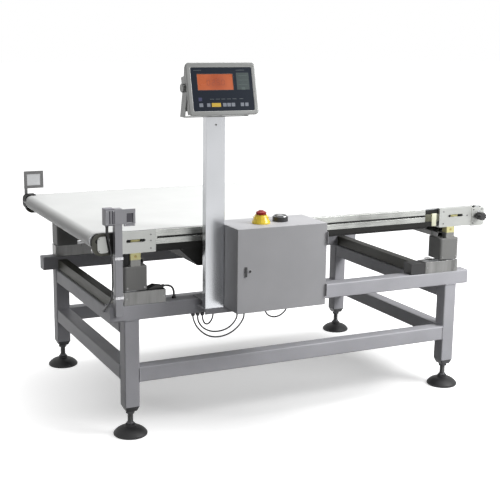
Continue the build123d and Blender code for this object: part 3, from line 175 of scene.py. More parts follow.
def finish(name, colour, roughness=0.5, metallic=0.0, stretch=60, tone=0.08, rough_spread=0.08,
           relief=0.0001, edge=0.0, edge_light=0.0, coat=0.0, blotch=0.06, specular=0.5):
    """A surface with a fine grain, cloudy tone, grain in its gloss, soft edges and a light wear with a
    painted highlight on them.
    """
    material = bpy.data.materials.new(name)
    material.use_nodes = True
    tree = material.node_tree
    inputs = tree.nodes["Principled BSDF"].inputs
    grain = node(tree, "TexNoise", Vector=pattern_place(tree, stretch), Scale=1.0, Detail=4.0,
                 Roughness=0.6).outputs["Fac"]
    cloud = node(tree, "TexNoise", Vector=pattern_place(tree, 1), Scale=7.0, Detail=2.0,
                 Roughness=0.5).outputs["Fac"]
    tones = blend(tree, grain, shade_of(colour, 1 - tone), shade_of(colour, 1 + tone))
    base = blend(tree, 1.0, tones, ramp(tree, cloud, 0.3, 0.7, 1 - blotch, 1 + blotch / 2),
                 blend_type="MULTIPLY")
    bump = node(tree, "Bump", Strength=0.6, Distance=relief, Height=grain)
    if edge:
        rounded = node(tree, "Bevel", samples=4, Radius=edge).outputs["Normal"]
        feed(tree, bump.inputs["Normal"], rounded)
        if edge_light:
            # edge_light paints a highlight, with a light wear, along the softened edges
            base = edge_wear_and_highlight(tree, rounded, base, shade_of(colour, 1 + edge_light))
    if coat:
        inputs["Coat Weight"].default_value = coat
        inputs["Coat Roughness"].default_value = 0.12
    inputs["Metallic"].default_value = metallic
    inputs["Specular IOR Level"].default_value = specular
    gloss = max(0.05, roughness - rough_spread), min(1.0, roughness + rough_spread)
    feed(tree, inputs["Roughness"], ramp(tree, grain, 0.25, 0.75, *gloss))
    feed(tree, inputs["Normal"], bump.outputs["Normal"])
    feed(tree, inputs["Base Color"], base)
    return material


def edge_wear_and_highlight(tree, rounded, base, light):
    """Lighten a colour where the softened edges turn away from the flat face, as a light wear and a painted
    highlight.
    """
    flat = node(tree, "NewGeometry").outputs["Normal"]
    turn = node(tree, "VectorMath", rounded, flat, operation="DOT_PRODUCT").outputs["Value"]
    return blend(tree, ramp(tree, turn, 0.99, 0.86), base, light)


def emboss(material, height, strength, depth):
    """Give a material a relief of its own in place of its grain."""
    tree = material.node_tree
    bump = node(tree, "Bump", Height=height, Strength=strength, Distance=depth)
    feed(tree, tree.nodes["Principled BSDF"].inputs["Normal"], bump.outputs["Normal"])


def screw_metal(name, colour, metallic=0.8, **more):
    """The bright metal of small screws."""
    return finish(name, colour, roughness=0.3, metallic=metallic, stretch=400, tone=0.1, **more)


def dress(material, *names):
    """Give CAD pieces their finish."""
    for name in names:
        mesh = cad[name].data
        mesh.materials.clear()
        mesh.materials.append(material)


# Shapes


def spot(x, y, z):
    """A place in millimetres, with Y counted from the frame's front face, in metres."""
    return Vector((x / 1000, FRONT + y / 1000, z / 1000))


def place_piece(name, shape, material, body=MACHINE, smooth=True):
    """Turn a bmesh into a piece of the machine that rides on a body."""
    mesh = bpy.data.meshes.new(name)
    shape.to_mesh(mesh)
    shape.free()
    mesh.materials.append(material)
    if smooth:
        mesh.shade_smooth()
        mesh.set_sharp_from_angle(angle=radians(32))
    piece = bpy.data.objects.new(name, mesh)
    bpy.context.scene.collection.objects.link(piece)
    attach(piece, body)


def turned(place, axis):
    """A matrix that stands a shape at a place, with its Z along an axis."""
    return Matrix.Translation(place) @ Vector(axis).to_track_quat("Z", "Y").to_matrix().to_4x4()


def rod(shape, place, axis, radius, length, tip=None, segments=20):
    """A round bar from a place along an axis, in millimetres. tip is its far radius."""
    half = Matrix.Translation((0, 0, length / 2000))
    far = radius if tip is None else tip
    made = bmesh.ops.create_cone(shape, cap_ends=True, segments=segments, radius1=radius / 1000,
                                 radius2=far / 1000, depth=length / 1000, matrix=turned(place, axis) @ half)
    return made["verts"]


def block(shape, middle, size, bevel=0.0, turn=None):
    """A box round its middle, its sizes in millimetres, with rounded edges."""
    matrix = Matrix.Translation(middle)
    if turn:
        matrix = matrix @ turn
    scale = Matrix.Diagonal((*(Vector(size) / 1000), 1.0))
    made = bmesh.ops.create_cube(shape, size=1.0, matrix=matrix @ scale)
    if bevel:
        edges = list({edge for vert in made["verts"] for edge in vert.link_edges})
        bmesh.ops.bevel(shape, geom=edges, offset=bevel / 1000, offset_type="OFFSET", segments=2, profile=0.5,
                        affect="EDGES", material=-1, clamp_overlap=True)


def lathe(shape, place, axis, outline, steps=32):
    """A turned body: an outline of (radius, height) in millimetres spun round an axis."""
    turn = turned(place, axis)
    old = set(shape.verts)
    points = [shape.verts.new(turn @ Vector((radius / 1000, 0, height / 1000))) for radius, height in outline]
    edges = [shape.edges.new(pair) for pair in zip(points, points[1:])]
    bmesh.ops.spin(shape, geom=points + edges, cent=place, axis=turn.to_3x3() @ Vector((0, 0, 1)),
                   angle=2 * pi, steps=steps, use_merge=True)
    bmesh.ops.remove_doubles(shape, verts=[vert for vert in shape.verts if vert not in old], dist=0.000002)
    fresh = [face for face in shape.faces if not any(vert in old for vert in face.verts)]
    bmesh.ops.recalc_face_normals(shape, faces=fresh)


def hex_bolt(shape, place, axis, across, height):
    """A hexagon head on a washer."""
    step = Vector(axis).normalized() / 1000
    washer = 0.14 * across
    rod(shape, place, axis, across * 0.66, washer, segments=28)
    rod(shape, place + step * washer, axis, across * 0.577, height, segments=6)
    rod(shape, place + step * (washer + height), axis, across * 0.5, 0.08 * across, across * 0.4)


def cap_screw(shape, place, axis, radius, height):
    """A round screw head with a sunk socket."""
    verts = rod(shape, place, axis, radius, height, segments=18)
    ends = {face for vert in verts for face in vert.link_faces if len(face.verts) > 4}
    top = max(ends, key=lambda face: face.calc_center_median().dot(Vector(axis)))
    bmesh.ops.inset_individual(shape, faces=[top], thickness=radius * 0.00045, depth=0.0)
    bmesh.ops.inset_individual(shape, faces=[top], thickness=radius * 0.00002, depth=-height * 0.0006)


def both_sides(rows):
    """Each (x, y, z) in millimetres on the front and on the far side, with its outward axis."""
    for x, y, z in rows:
        yield spot(x, y, z), TO_FRONT
        yield spot(x, DEPTH - y, z), TO_REAR


def fasten(make, shape, rows, *sizes):
    """The same screw or bolt at each place of the front and of the far side."""
    for place, out in both_sides(rows):
        make(shape, place, out, *sizes)


def block_pair(shape, middle, size, bevel):
    """The same box on the front and on the far side."""
    for place, _ in both_sides([middle]):
        block(shape, place, size, bevel)


# Stage


class BELTSCALE_OT_stage(bpy.types.Operator):
    """Set up the camera, the lamps, the floor and the pale surroundings."""

    bl_idname = "belt_scale.stage"
    bl_label = "Stage"

    BRIGHT_SIDE = (0.62, -0.42, 0.66)
    # greys between which the floor's grain runs
    FLOOR_TO_BOUNCES = (0.10, 0.12)
    FLOOR_TO_CAMERA = (0.74, 0.78)
    # distances from the middle, in metres, and the glow that rises between them; the low glow under the
    # machine is a painted shadow
    GLOW_FADES_AND_PAINTED_SHADOW = ((0.55, 1.15, 0.36, 0.86), (1.15, 3.0, 0.0, 0.17))

    def execute(self, context):
        studio = settings("belt_scale_studio")
        self.camera(context, studio)
        self.lamps(context, studio)
        self.surroundings(context, studio)
        self.floor(context)
        context.scene.view_settings.view_transform = "Standard"
        return {"FINISHED"}

    def camera(self, context, studio):
        """The photograph's camera, from the directions that were fitted to the frame's corners."""
        ahead = Vector((0.4283, 0.8796, -0.2073)).normalized()
        right = ahead.cross(Vector((0.0788, 0.1922, 0.9782))).normalized()
        turn = Matrix((right, right.cross(ahead), -ahead)).transposed().to_4x4()
        lens = bpy.data.cameras.new("photo_camera")
        lens.lens = studio.focal_length
        lens.sensor_width = 36.0
        camera = bpy.data.objects.new("photo_camera", lens)
        camera.matrix_world = Matrix.Translation(studio.camera_place) @ turn
        context.scene.collection.objects.link(camera)
        context.scene.camera = camera

    def lamps(self, context, studio):
        """Three soft square lamps, aimed at the machine's middle."""
        rows = (
            ("key_lamp", (1.7, -1.9, 1.9), 1.2, studio.key_power),
            ("fill_lamp", (-0.7, -3.9, 2.2), 2.0, studio.fill_power),
            ("top_lamp", (0.5, 0.2, 3.3), 2.4, studio.top_power),
        )
        aim = Vector((0.0, 0.0, 0.6))
        for name, place, size, power in rows:
            lamp = bpy.data.lights.new(name, "AREA")
            lamp.shape = "SQUARE"
            lamp.size = size
            lamp.energy = power
            holder = bpy.data.objects.new(name, lamp)
            holder.location = place
            holder.rotation_euler = (aim - Vector(place)).to_track_quat("-Z", "Y").to_euler()
            holder.visible_camera = False
            context.scene.collection.objects.link(holder)

    def surroundings(self, context, studio):
        """A room that lights the machine from the right, front and above, and that looks white."""
        world = bpy.data.worlds.new("pale_room")
        world.use_nodes = True
        tree = world.node_tree
        inputs = tree.nodes["Background"].inputs
        inputs["Color"].default_value = (1.0, 1.0, 1.0, 1.0)
        ahead = node(tree, "TexCoord").outputs["Generated"]
        slope = node(tree, "VectorMath", ahead, self.BRIGHT_SIDE, operation="DOT_PRODUCT").outputs["Value"]
        lit = ramp(tree, slope, -0.6, 1.0, studio.sky_level * 0.1, studio.sky_level * 1.8)
        level = node(tree, "Mix", A=lit, B=1.0, Factor=self.seen_rays(tree))
        feed(tree, inputs["Strength"], level.outputs["Result"])
        context.scene.world = world

    def seen_rays(self, tree):
        """1 where the camera sees a surface directly, mirrored or through glass."""
        rays = node(tree, "LightPath").outputs
        total = rays["Is Camera Ray"]
        for name in ("Is Glossy Ray", "Is Transmission Ray"):
            total = node(tree, "Math", total, rays[name], use_clamp=True).outputs["Value"]
        return total

    def floor(self, context):
        """A floor that is dark to bounced light, pale to the camera and dimmer under the machine as a painted
        shadow.
        """
        shape = bmesh.new()
        bmesh.ops.create_grid(shape, x_segments=1, y_segments=1, size=40.0)
        mesh = bpy.data.meshes.new("studio_floor")
        shape.to_mesh(mesh)
        shape.free()
        material = bpy.data.materials.new("pale_floor")
        material.use_nodes = True
        tree = material.node_tree
        tree.nodes.remove(tree.nodes["Principled BSDF"])
        grain = node(tree, "TexNoise", Vector=pattern_place(tree, 1), Scale=30.0, Detail=2.0).outputs["Fac"]
        paints = []
        for low, high in (self.FLOOR_TO_BOUNCES, self.FLOOR_TO_CAMERA):
            tones = blend(tree, grain, (low, low, low, 1.0), (high, high, high, 1.0))
            paints.append(node(tree, "BsdfDiffuse", Color=tones).outputs["BSDF"])
        oval = pattern_place(tree, (1.0, 1.35, 1.0))
        reach = node(tree, "VectorMath", oval, operation="LENGTH").outputs["Value"]
        # the glow stays low under the machine: a painted shadow
        levels = node(tree, "Math", *[ramp(tree, reach, *fade) for fade in self.GLOW_FADES_AND_PAINTED_SHADOW])
        glow = node(tree, "Emission", Strength=levels.outputs["Value"])
        bright = node(tree, "AddShader", paints[1], glow.outputs["Emission"])
        both = node(tree, "MixShader", self.seen_rays(tree), paints[0], bright.outputs["Shader"])
        feed(tree, tree.nodes["Material Output"].inputs["Surface"], both.outputs["Shader"])
        mesh.materials.append(material)
        floor = bpy.data.objects.new("studio_floor", mesh)
        context.scene.collection.objects.link(floor)


# Cables


def route(*points):
    """Cable points in millimetres, with Y counted from the frame's front face."""
    return [tuple(spot(*point)) for point in points]


CABLES = {
    "outer_loop": (0.309, "hanging", route(
        (-481, 12, 457), (-481, 12, 446), (-478, 6, 430), (-474, -6, 415), (-466, -22, 401),
        (-453, -42, 389), (-436, -62, 383), (-415, -82, 385), (-390, -101, 395), (-366, -116, 413),
        (-347, -127, 436), (-334, -134, 462), (-331, -135, 478), (-331, -135, 491))),
    "inner_loop": (0.254, "hanging", route(
        (-461, 12, 457), (-461, 12, 448), (-462, 7, 434), (-459, -6, 420), (-452, -22, 409),
        (-438, -44, 402), (-421, -64, 402), (-401, -84, 409), (-381, -102, 423), (-366, -115, 444),
        (-357, -124, 466), (-356, -125, 480), (-356, -125, 491))),
    "column_lead": (0.139, "hanging", route(
        (-443, 8, 457), (-443, 8, 444), (-442.5, 1, 432), (-442, -12, 424.5), (-441, -28, 425),
        (-439, -43, 431), (-436.5, -56, 442), (-434, -66, 456), (-433, -73, 472), (-433, -73, 487))),
    "cabinet_loop": (0.141, "hanging", route(
        (-229, -110, 491), (-229, -110, 477), (-221, -110.5, 462), (-205, -111, 451), (-185, -112, 447),
        (-165, -113, 452), (-148, -114, 463), (-138, -115, 477), (-138, -115, 491))),
    "cell_lead": (0.081, "loose", route(
        (-595, 30, 580.5), (-578, 30, 580.5), (-563, 32, 574), (-553, 37.5, 562), (-548, 42, 547),
        (-548, 42, 531))),
    "sensor_lead": (0.448, "hanging", route(
        (-831, -10, 833), (-831, -10, 815), (-827, -11, 787), (-820, -12, 757), (-815, -13, 725),
        (-813.5, -14, 685), (-813, -14, 639), (-813.5, -13, 597), (-815, -9, 569), (-818, 2, 545),
        (-826, 18, 523), (-831, 38, 505), (-830, 60, 494), (-820, 80, 490), (-803, 92, 490),
        (-786, 95, 491), (-769, 95, 491))),
}


class BELTSCALE_OT_cables(bpy.types.Operator):
    """Draw the six cables as smooth curves in place of their CAD tubes."""

    bl_idname = "belt_scale.cables"
    bl_label = "Cables"

    def execute(self, context):
        sizes = settings("belt_scale_cables")
        jacket = finish("cable_jacket", sizes.jacket, roughness=0.42, stretch=900, relief=0.00005, tone=0.15)
        for name, (length, lay, points) in CABLES.items():
            thick = name == "cell_lead"
            diameter = sizes.cell_diameter if thick else sizes.signal_diameter
            line = bpy.data.curves.new(name + "_cable", "CURVE")
            line.dimensions = "3D"
            line.bevel_depth = diameter / 2
            line.bevel_resolution = 4
            line.resolution_u = 12
            line.use_fill_caps = True
            spline = line.splines.new("NURBS")
            spline.points.add(len(points) - 1)
            for point, place in zip(spline.points, points):
                point.co = (*place, 1.0)
            spline.order_u = 3
            spline.use_endpoint_u = True
            line.materials.append(jacket)
            piece = bpy.data.objects.new(name + "_cable", line)
            context.scene.collection.objects.link(piece)
            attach(piece, MACHINE)
            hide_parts(name)
        return {"FINISHED"}


# Finishes of the CAD pieces


PAD_NECK = 0.0435  # height of the rubber's end, in metres


def threaded_foot():
    """Black rubber up to the pad's neck, and a zinc spindle with a thread above it."""
    material = finish("foot_rubber_and_spindle", (0.012, 0.012, 0.013), roughness=0.55, stretch=220,
                      relief=0.0002, tone=0.2, edge=0.001)
    tree = material.node_tree
    rubber = tree.nodes["Principled BSDF"].outputs["BSDF"]
    place = place_in(tree)
    height = node(tree, "SeparateXYZ", place).outputs["Z"]
    above = node(tree, "Math", height, PAD_NECK, operation="GREATER_THAN").outputs["Value"]
    thread = node(tree, "TexWave", bands_direction="Z", Vector=place, Scale=125.0).outputs["Fac"]
    bump = node(tree, "Bump", Strength=1.0, Distance=0.001, Height=thread)
    steel = node(tree, "BsdfPrincipled", Base_Color=(0.10, 0.10, 0.10, 1.0), Roughness=0.35, Metallic=0.9,
                 Normal=bump.outputs["Normal"])
    both = node(tree, "MixShader", above, rubber, steel.outputs["BSDF"])
    feed(tree, tree.nodes["Material Output"].inputs["Surface"], both.outputs["Shader"])
    return material


class BELTSCALE_OT_frame_finish(bpy.types.Operator):
    """Finish the welded frame, its ducts, feet, column and tray, and lay its weld beads."""

    bl_idname = "belt_scale.frame_finish"
    bl_label = "Frame finish"

    def execute(self, context):
        colours = settings("belt_scale_finish")
        satin = finish("frame_satin", colours.frame_colour, roughness=0.45, specular=0.25, stretch=160,
                       tone=0.05, relief=0.00008, edge=0.002, edge_light=0.25, blotch=0.08)
        dress(satin, "legs", "side_rails", "lower_long_rails", "top_rails", "support_tray")
        dress(finish("duct_olive_steel", (0.045, 0.045, 0.035), roughness=0.5, stretch=(200, 8, 200),
                     tone=0.2, edge=0.001, edge_light=1.0, specular=0.3), "cable_ducts")
        dress(finish("column_satin", (0.54, 0.55, 0.57), roughness=0.24, metallic=0.85, rough_spread=0.03,
                     stretch=(300, 300, 6), tone=0.03, edge=0.002, edge_light=0.15), "column")
        dress(finish("zinc_plate", (0.05, 0.05, 0.052), roughness=0.4, metallic=0.6, stretch=140, edge=0.001,
                     edge_light=0.8), "foot_fittings")
        dress(threaded_foot(), "foot_front_left", "foot_front_right", "foot_rear_left", "foot_rear_right")
        self.welds(satin)
        self.feet()
        return {"FINISHED"}

    def welds(self, paint):
        """Painted weld beads where rails meet legs, as overlapping drops of metal."""
        shape = bmesh.new()
        low_rail, high_rail, post_foot = 246, 434, 464
        half_tube, pitch, bead = 30, 4.0, 0.0028
        for x in (-LEG_X, LEG_X):
            for y in LEG_Y:
                inward = half_tube if x < 0 else -half_tube
                depth = half_tube if y < 500 else -half_tube
                for place, across in (((x + inward, y, low_rail), "x"), ((x, y + depth, low_rail), "y"),
                                      ((x, y + depth, high_rail), "y"), ((x, y, post_foot), "z")):
                    for step in range(-6, 7):
                        along = step * pitch
                        for edge in (-half_tube - 0.3, half_tube + 0.3):
                            for u, v in ((along, edge), (edge, along)):
                                away = {"x": (0, u, v), "y": (u, 0, v), "z": (u, v, 0)}[across]
                                drop = spot(*(Vector(place) + Vector(away)))
                                bmesh.ops.create_uvsphere(shape, u_segments=7, v_segments=4, radius=bead,
                                                          matrix=Matrix.Translation(drop))
        place_piece("frame_welds", shape, paint)

    def feet(self):
        """Hexagon flats on each spindle and a ring round each pad."""
        steel = finish("spindle_steel", (0.08, 0.08, 0.085), roughness=0.38, metallic=0.8, stretch=300,
                       tone=0.12, edge=0.0005)
        for side, y in zip(("front", "rear"), LEG_Y):
            for end, x in (("left", -LEG_X), ("right", LEG_X)):
                shape = bmesh.new()
                rod(shape, spot(x, y, 43.2), UP, 15.5, 7.0, segments=6)
                rod(shape, spot(x, y, 50.2), UP, 13.0, 2.0, 12.0, segments=28)
                place_piece(f"foot_{side}_{end}_flats", shape, steel, body=f"foot_{side}_{end}_body")


class BELTSCALE_OT_module_finish(bpy.types.Operator):
    """Finish the weighing modules and add their screws, studs and boot ribs."""

    bl_idname = "belt_scale.module_finish"
    bl_label = "Weighing module finish"

    def execute(self, context):
        brushed = finish("module_brushed_steel", (0.21, 0.21, 0.205), roughness=0.42, specular=0.2,
                         stretch=(900, 900, 25), tone=0.1, relief=0.00005, edge=0.0015, edge_light=0.5)
        dress(brushed, "module_covers")
        dress(finish("base_streaked_steel", (0.24, 0.24, 0.235), roughness=0.32, metallic=0.3,
                     stretch=(22, 22, 2), tone=0.8, relief=0.00005, edge=0.0015, edge_light=0.5),
              "module_bases", "carrier_bars")
        dress(finish("coupling_steel", (0.22, 0.22, 0.21), roughness=0.4, metallic=0.35, stretch=120,
                     edge=0.001, edge_light=0.4), "coupling_blocks")
        dress(finish("cell_aluminium", (0.50, 0.51, 0.52), roughness=0.4, metallic=0.6,
                     stretch=(200, 20, 200), edge=0.001), "load_cells")
        dress(finish("yellow_spacer", (0.66, 0.62, 0.30), roughness=0.5, stretch=90, tone=0.12, edge=0.001,
                     edge_light=0.3, blotch=0.15), "yellow_spacers")
        dress(finish("gland_black", (0.012, 0.012, 0.013), roughness=0.45, stretch=500, edge=0.0008,
                     edge_light=1.0), "cable_glands")
        self.screws()
        self.glands()
        return {"FINISHED"}

    def screws(self):
        """Studs through the yellow blocks and cap screws on covers, bases and carrier bars."""
        bright = screw_metal("screw_steel", (0.30, 0.30, 0.30), edge=0.0004)
        brown = finish("stud_brass", (0.48, 0.38, 0.14), roughness=0.4, metallic=0.2, stretch=400, tone=0.2)
        screws, studs = bmesh.new(), bmesh.new()
        for side in (-1, 1):
            for place, out in both_sides([(side * 718, 1.5, 710)]):
                rod(studs, place, [-part for part in out], 5.3, 30.0)
                lathe(studs, place, out, ((0, 0), (4.4, 0), (4.4, 1.0), (2.4, 1.2), (2.4, 0.2), (0, 0.2)))
            fasten(cap_screw, screws, [(side * 752, 0, 590), (side * 683, 0, 590)], 3.2, 1.6)
            fasten(cap_screw, screws, [(side * 754, 0, 549), (side * 606, 0, 549)], 3.6, 2.0)
            for y in (48, 952):
                for x in (side * 716, side * 690):
                    cap_screw(screws, spot(x, y, 694), UP, 4.5, 2.5)
        place_piece("module_screws", screws, bright)
        place_piece("spacer_studs", studs, brown)

    def glands(self):
        """Domed nuts where cables enter, ribs on the photo-eye's plug and ribs on the black boots."""
        black = finish("nut_black", (0.014, 0.014, 0.015), roughness=0.4, stretch=500, tone=0.2, edge=0.0004,
                       edge_light=0.8)
        shape = bmesh.new()
        dome = ((3.2, 0), (6.6, 0), (7.0, -1.2), (6.9, -3.2), (5.4, -5.2), (3.2, -5.6), (3.2, 0))
        for name in ("outer_loop", "inner_loop", "column_lead", "cabinet_loop"):
            points = CABLES[name][2]
            for end in (points[0], points[-1]):
                lathe(shape, Vector(end), UP, dome, steps=24)
        for end, axis, outline in (
                (spot(-548, 42, 531), UP, ((4.2, 0), (7.0, 0), (6.6, 3.2), (4.2, 4.2), (4.2, 0))),
                (spot(-769, 95, 491), (-1, 0, 0), ((3.2, 0), (5.6, 0), (5.2, 3.0), (3.2, 4.0), (3.2, 0)))):
            lathe(shape, end, axis, outline, steps=24)
        plug = [(3.2, 0), (5.8, 0)]
        for low in range(0, 25, 5):
            plug += [(5.8, -3 - low), (5.1, -4 - low), (5.1, -6 - low), (5.8, -7 - low)]
        plug += [(5.8, -26), (3.4, -30), (3.2, -30), (3.2, 0)]
        lathe(shape, spot(-831, -10, 833), UP, plug, steps=24)
        for side in (-1, 1):
            for y in LEG_Y:
                for rib in range(4):
                    block(shape, spot(side * (634 - rib * 7), y, 587.0 - rib), (2.0, 34.0, 2.2), 0.5)
        place_piece("gland_nuts", shape, black)


def belt_fabric(colour):
    """White belting with a fine square weave."""
    material = finish("belt_fabric", colour, stretch=90, tone=0.02, relief=0.0002, blotch=0.03)
    tree = material.node_tree
    place = place_in(tree)
    threads = [node(tree, "TexWave", bands_direction=way, Vector=place, Scale=110.0).outputs["Fac"]
               for way in ("X", "Y")]
    cloth = node(tree, "Math", *threads, operation="MULTIPLY")
    emboss(material, cloth.outputs["Value"], 0.35, 0.0003)
    return material


class BELTSCALE_OT_conveyor_finish(bpy.types.Operator):
    """Finish the belt, rollers, side profiles, plates and drive housing, with their fasteners."""

    bl_idname = "belt_scale.conveyor_finish"
    bl_label = "Conveyor finish"

    def execute(self, context):
        colours = settings("belt_scale_finish")
        dress(belt_fabric(colours.belt_colour), "belt")
        plate = finish("brushed_plate", (0.48, 0.49, 0.47), roughness=0.34, metallic=0.4,
                       stretch=(25, 400, 600), tone=0.07, relief=0.00004, edge=0.001, edge_light=0.2)
        dress(plate, "end_plates", "tail_blocks")
        dress(finish("profile_aluminium", (0.44, 0.45, 0.43), roughness=0.26, metallic=0.6,
                     stretch=(6, 500, 160), tone=0.2, relief=0.00003, edge=0.001, edge_light=0.3,
                     blotch=0.4), "side_profiles")
        # near black: partly the parts' own colour, partly painted shade under the belt
        dress(finish("dark_steel_and_underbelt_shade", (0.014, 0.014, 0.013), roughness=0.6, specular=0.2, edge=0.001,
                     edge_light=1.0), "side_strips", "inner_rails", "drive_housing")
        dress(finish("cap_dark_olive", (0.085, 0.085, 0.07), roughness=0.5, specular=0.3, stretch=300,
                     relief=0.0001, edge=0.0015, edge_light=0.6), "nose_caps")
        dress(finish("moulded_black", (0.015, 0.015, 0.016), roughness=0.45, stretch=600, relief=0.0001,
                     edge=0.001, edge_light=1.2), "front_knob", "rear_knob")
        dress(finish("turned_steel", (0.45, 0.46, 0.47), roughness=0.25, metallic=0.95,
                     stretch=(500, 20, 500), tone=0.04), "nose_roller", "tail_roller", "drive_drum",
              "left_snub_roller", "right_snub_roller", "cross_members")
        dress(finish("bed_sheet_steel", (0.42, 0.43, 0.44), roughness=0.38, metallic=0.9,
                     stretch=(12, 500, 500)), "slider_bed")
        self.fasteners()
        self.slot_inserts()
        self.trim()
        self.knob_caps()
        return {"FINISHED"}

    def fasteners(self):
        """Black slot bolts, whose black is also painted shade at the slots' ends, bright plate screws,
        profile bolts and the drive housing's screws.
        """
        black, bright = bmesh.new(), bmesh.new()
        # near-black bolt heads at the slots' ends: the bolts' own black and painted shade in the slots
        fasten(cap_screw, black, [(x, 6, 770) for x in (-743, -689, 708, 768)], 5.2, 8.0)
        fasten(cap_screw, black, [(x, 3, 777) for x in (498, 522, 548, 566)], 3.6, 3.4)
        fasten(cap_screw, bright, [(-657, 0, 767), (-774, 0, 767), (801, 0, 767), (-657, 0, 790),
                                   (677, 0, 790), (677, 0, 738), (-657, 0, 738)], 3.0, 1.6)
        fasten(cap_screw, bright, [(835, 0, 790), (835, 0, 730), (880, 0, 790)], 2.8, 1.5)
        fasten(hex_bolt, black, [(x, 4, 741) for x in (-470, -420, -290, -240)], 8.0, 2.5)
        fasten(hex_bolt, black, [(x, 4, 722) for x in (-530, -180)], 7.0, 2.5)
        for z in (742, 786):
            for x in (-859, -826):
                cap_screw(bright, spot(x, -2, z), TO_FRONT, 2.4, 1.2)
        # black of the bolts, which at the slots also stands as painted shade
        dark = finish("black_oxide_and_slot_shade", (0.012, 0.012, 0.012), roughness=0.35, metallic=0.4, stretch=400,
                      tone=0.2)
        place_piece("conveyor_black_bolts", black, dark)
        screw = screw_metal("plate_screw_steel", (0.20, 0.20, 0.20), metallic=0.7)
        place_piece("conveyor_plate_screws", bright, screw)

    def slot_inserts(self):
        """Yellow slide blocks behind the slots of the end plates."""
        yellow = finish("slide_block_yellow", (0.50, 0.46, 0.20), stretch=90, tone=0.2, edge=0.0005)
        shape = bmesh.new()
        for x in (-716, 737):
            block_pair(shape, (x, 7.5, 770), (36.0, 4.0, 9.4), 0.8)
        place_piece("slot_slide_blocks", shape, yellow)

    def trim(self):
        """Packing and faces of the distance blocks, black trim, a black strip as painted shade in the
        profiles' groove, the rear box and the belt ends' sheets.
        """
        olive = finish("packing_olive", (0.075, 0.075, 0.045), stretch=(90, 90, 300), tone=0.3, edge=0.0008,
                       edge_light=0.6)
        packing = bmesh.new()
        block_pair(packing, (598, 4, 768), (30.0, 7.0, 30.0), 1.0)
        block_pair(packing, (647, 4, 768), (12.0, 7.0, 30.0), 1.0)
        block_pair(packing, (825, 0.1, 762), (1.4, 0.5, 70.0), 0.1)
        place_piece("distance_packing", packing, olive)
        pale = finish("distance_face_pale", (0.72, 0.72, 0.55), roughness=0.4, stretch=90, edge=0.0008)
        faces = bmesh.new()
        block_pair(faces, (627.5, -0.9, 759), (24.0, 1.8, 55.0), 0.5)
        place_piece("distance_faces", faces, pale)
        black = finish("skirt_black", (0.010, 0.010, 0.010), roughness=0.6, tone=0.2, specular=0.2)
        skirt = bmesh.new()
        block_pair(skirt, (-20, 5, 727.5), (1232.0, 4.0, 9.0), 0.3)
        # thin black strip along the profile's groove: painted shade standing for the groove
        block_pair(skirt, (-20, 2.5, 777), (1220.0, 1.0, 7.0), 0.2)
        block_pair(skirt, (-750.5, 18, 700), (23.0, 26.0, 44.0), 1.0)
        lean = Matrix.Rotation(radians(-9), 4, "Y")
        block(skirt, spot(-824.5, -2.5, 763), (9.0, 1.0, 66.0), 0.4, lean)
        block(skirt, spot(-868, 1.4, 764), (14.0, 1.6, 52.0), 0.4)
        block(skirt, spot(-806.5, 8, 764), (20.0, 6.0, 80.0), 0.4)
        place_piece("side_skirts", skirt, black)
        self.far_guard(black)
        box = bmesh.new()
        block(box, spot(-634, 966, 641.5), (60.0, 48.0, 105.0), 2.0)
        place_piece("rear_junction_box", box, bpy.data.materials["duct_olive_steel"])
        sheets = bmesh.new()
        for end, inner in ((-774, -752), (774, 752)):
            block(sheets, spot(end, 500, 720), (2.0, 876.0, 52.0), 0.4)
            block(sheets, spot(inner, 500, 695), (44.0, 876.0, 2.0), 0.4)
        place_piece("end_shields", sheets, bpy.data.materials["cap_dark_olive"])

    def far_guard(self, black):
        """The black nose guard that wraps the belt's end on the far side, as a squared half round."""
        nose, half_long, half_high = spot(-845, 0, 778), 49.0, 33.0
        wall = 0.07  # the sheet's share of the way to the guard's axis
        shape = bmesh.new()
        bmesh.ops.create_grid(shape, x_segments=24, y_segments=1, size=1.0)
        for corner in shape.verts:
            turn = pi / 2 + pi * (corner.co.x + 1) / 2
            squared = (abs(cos(turn)) ** 4 + abs(sin(turn)) ** 4) ** -0.25
            corner.co = spot(-845.1 + half_long * squared * cos(turn), 973.5 + 25.5 * corner.co.y,
                             778 + half_high * squared * sin(turn))
        skin = bmesh.ops.extrude_face_region(shape, geom=shape.faces[:])
        for corner in skin["geom"]:
            if isinstance(corner, bmesh.types.BMVert):
                corner.co.x += (nose.x - corner.co.x) * wall
                corner.co.z += (nose.z - corner.co.z) * wall
        bmesh.ops.recalc_face_normals(shape, faces=shape.faces)
        place_piece("far_nose_guard", shape, black)

    def knob_caps(self):
        """A domed cap in the middle of each hand knob."""
        cap = finish("knob_cap", (0.03, 0.03, 0.032), roughness=0.3, stretch=500, tone=0.15)
        for name, y, out in (("front", -42, -1), ("rear", 1042, 1)):
            shape = bmesh.new()
            lathe(shape, spot(857, y - out * 1.2, 764), (0, out, 0),
                  ((0, 0), (8.5, 0), (8.5, 0.6), (6.0, 1.0), (0, 1.15)), steps=28)
            place_piece(f"{name}_knob_cap", shape, cap, body=f"{name}_knob_body")


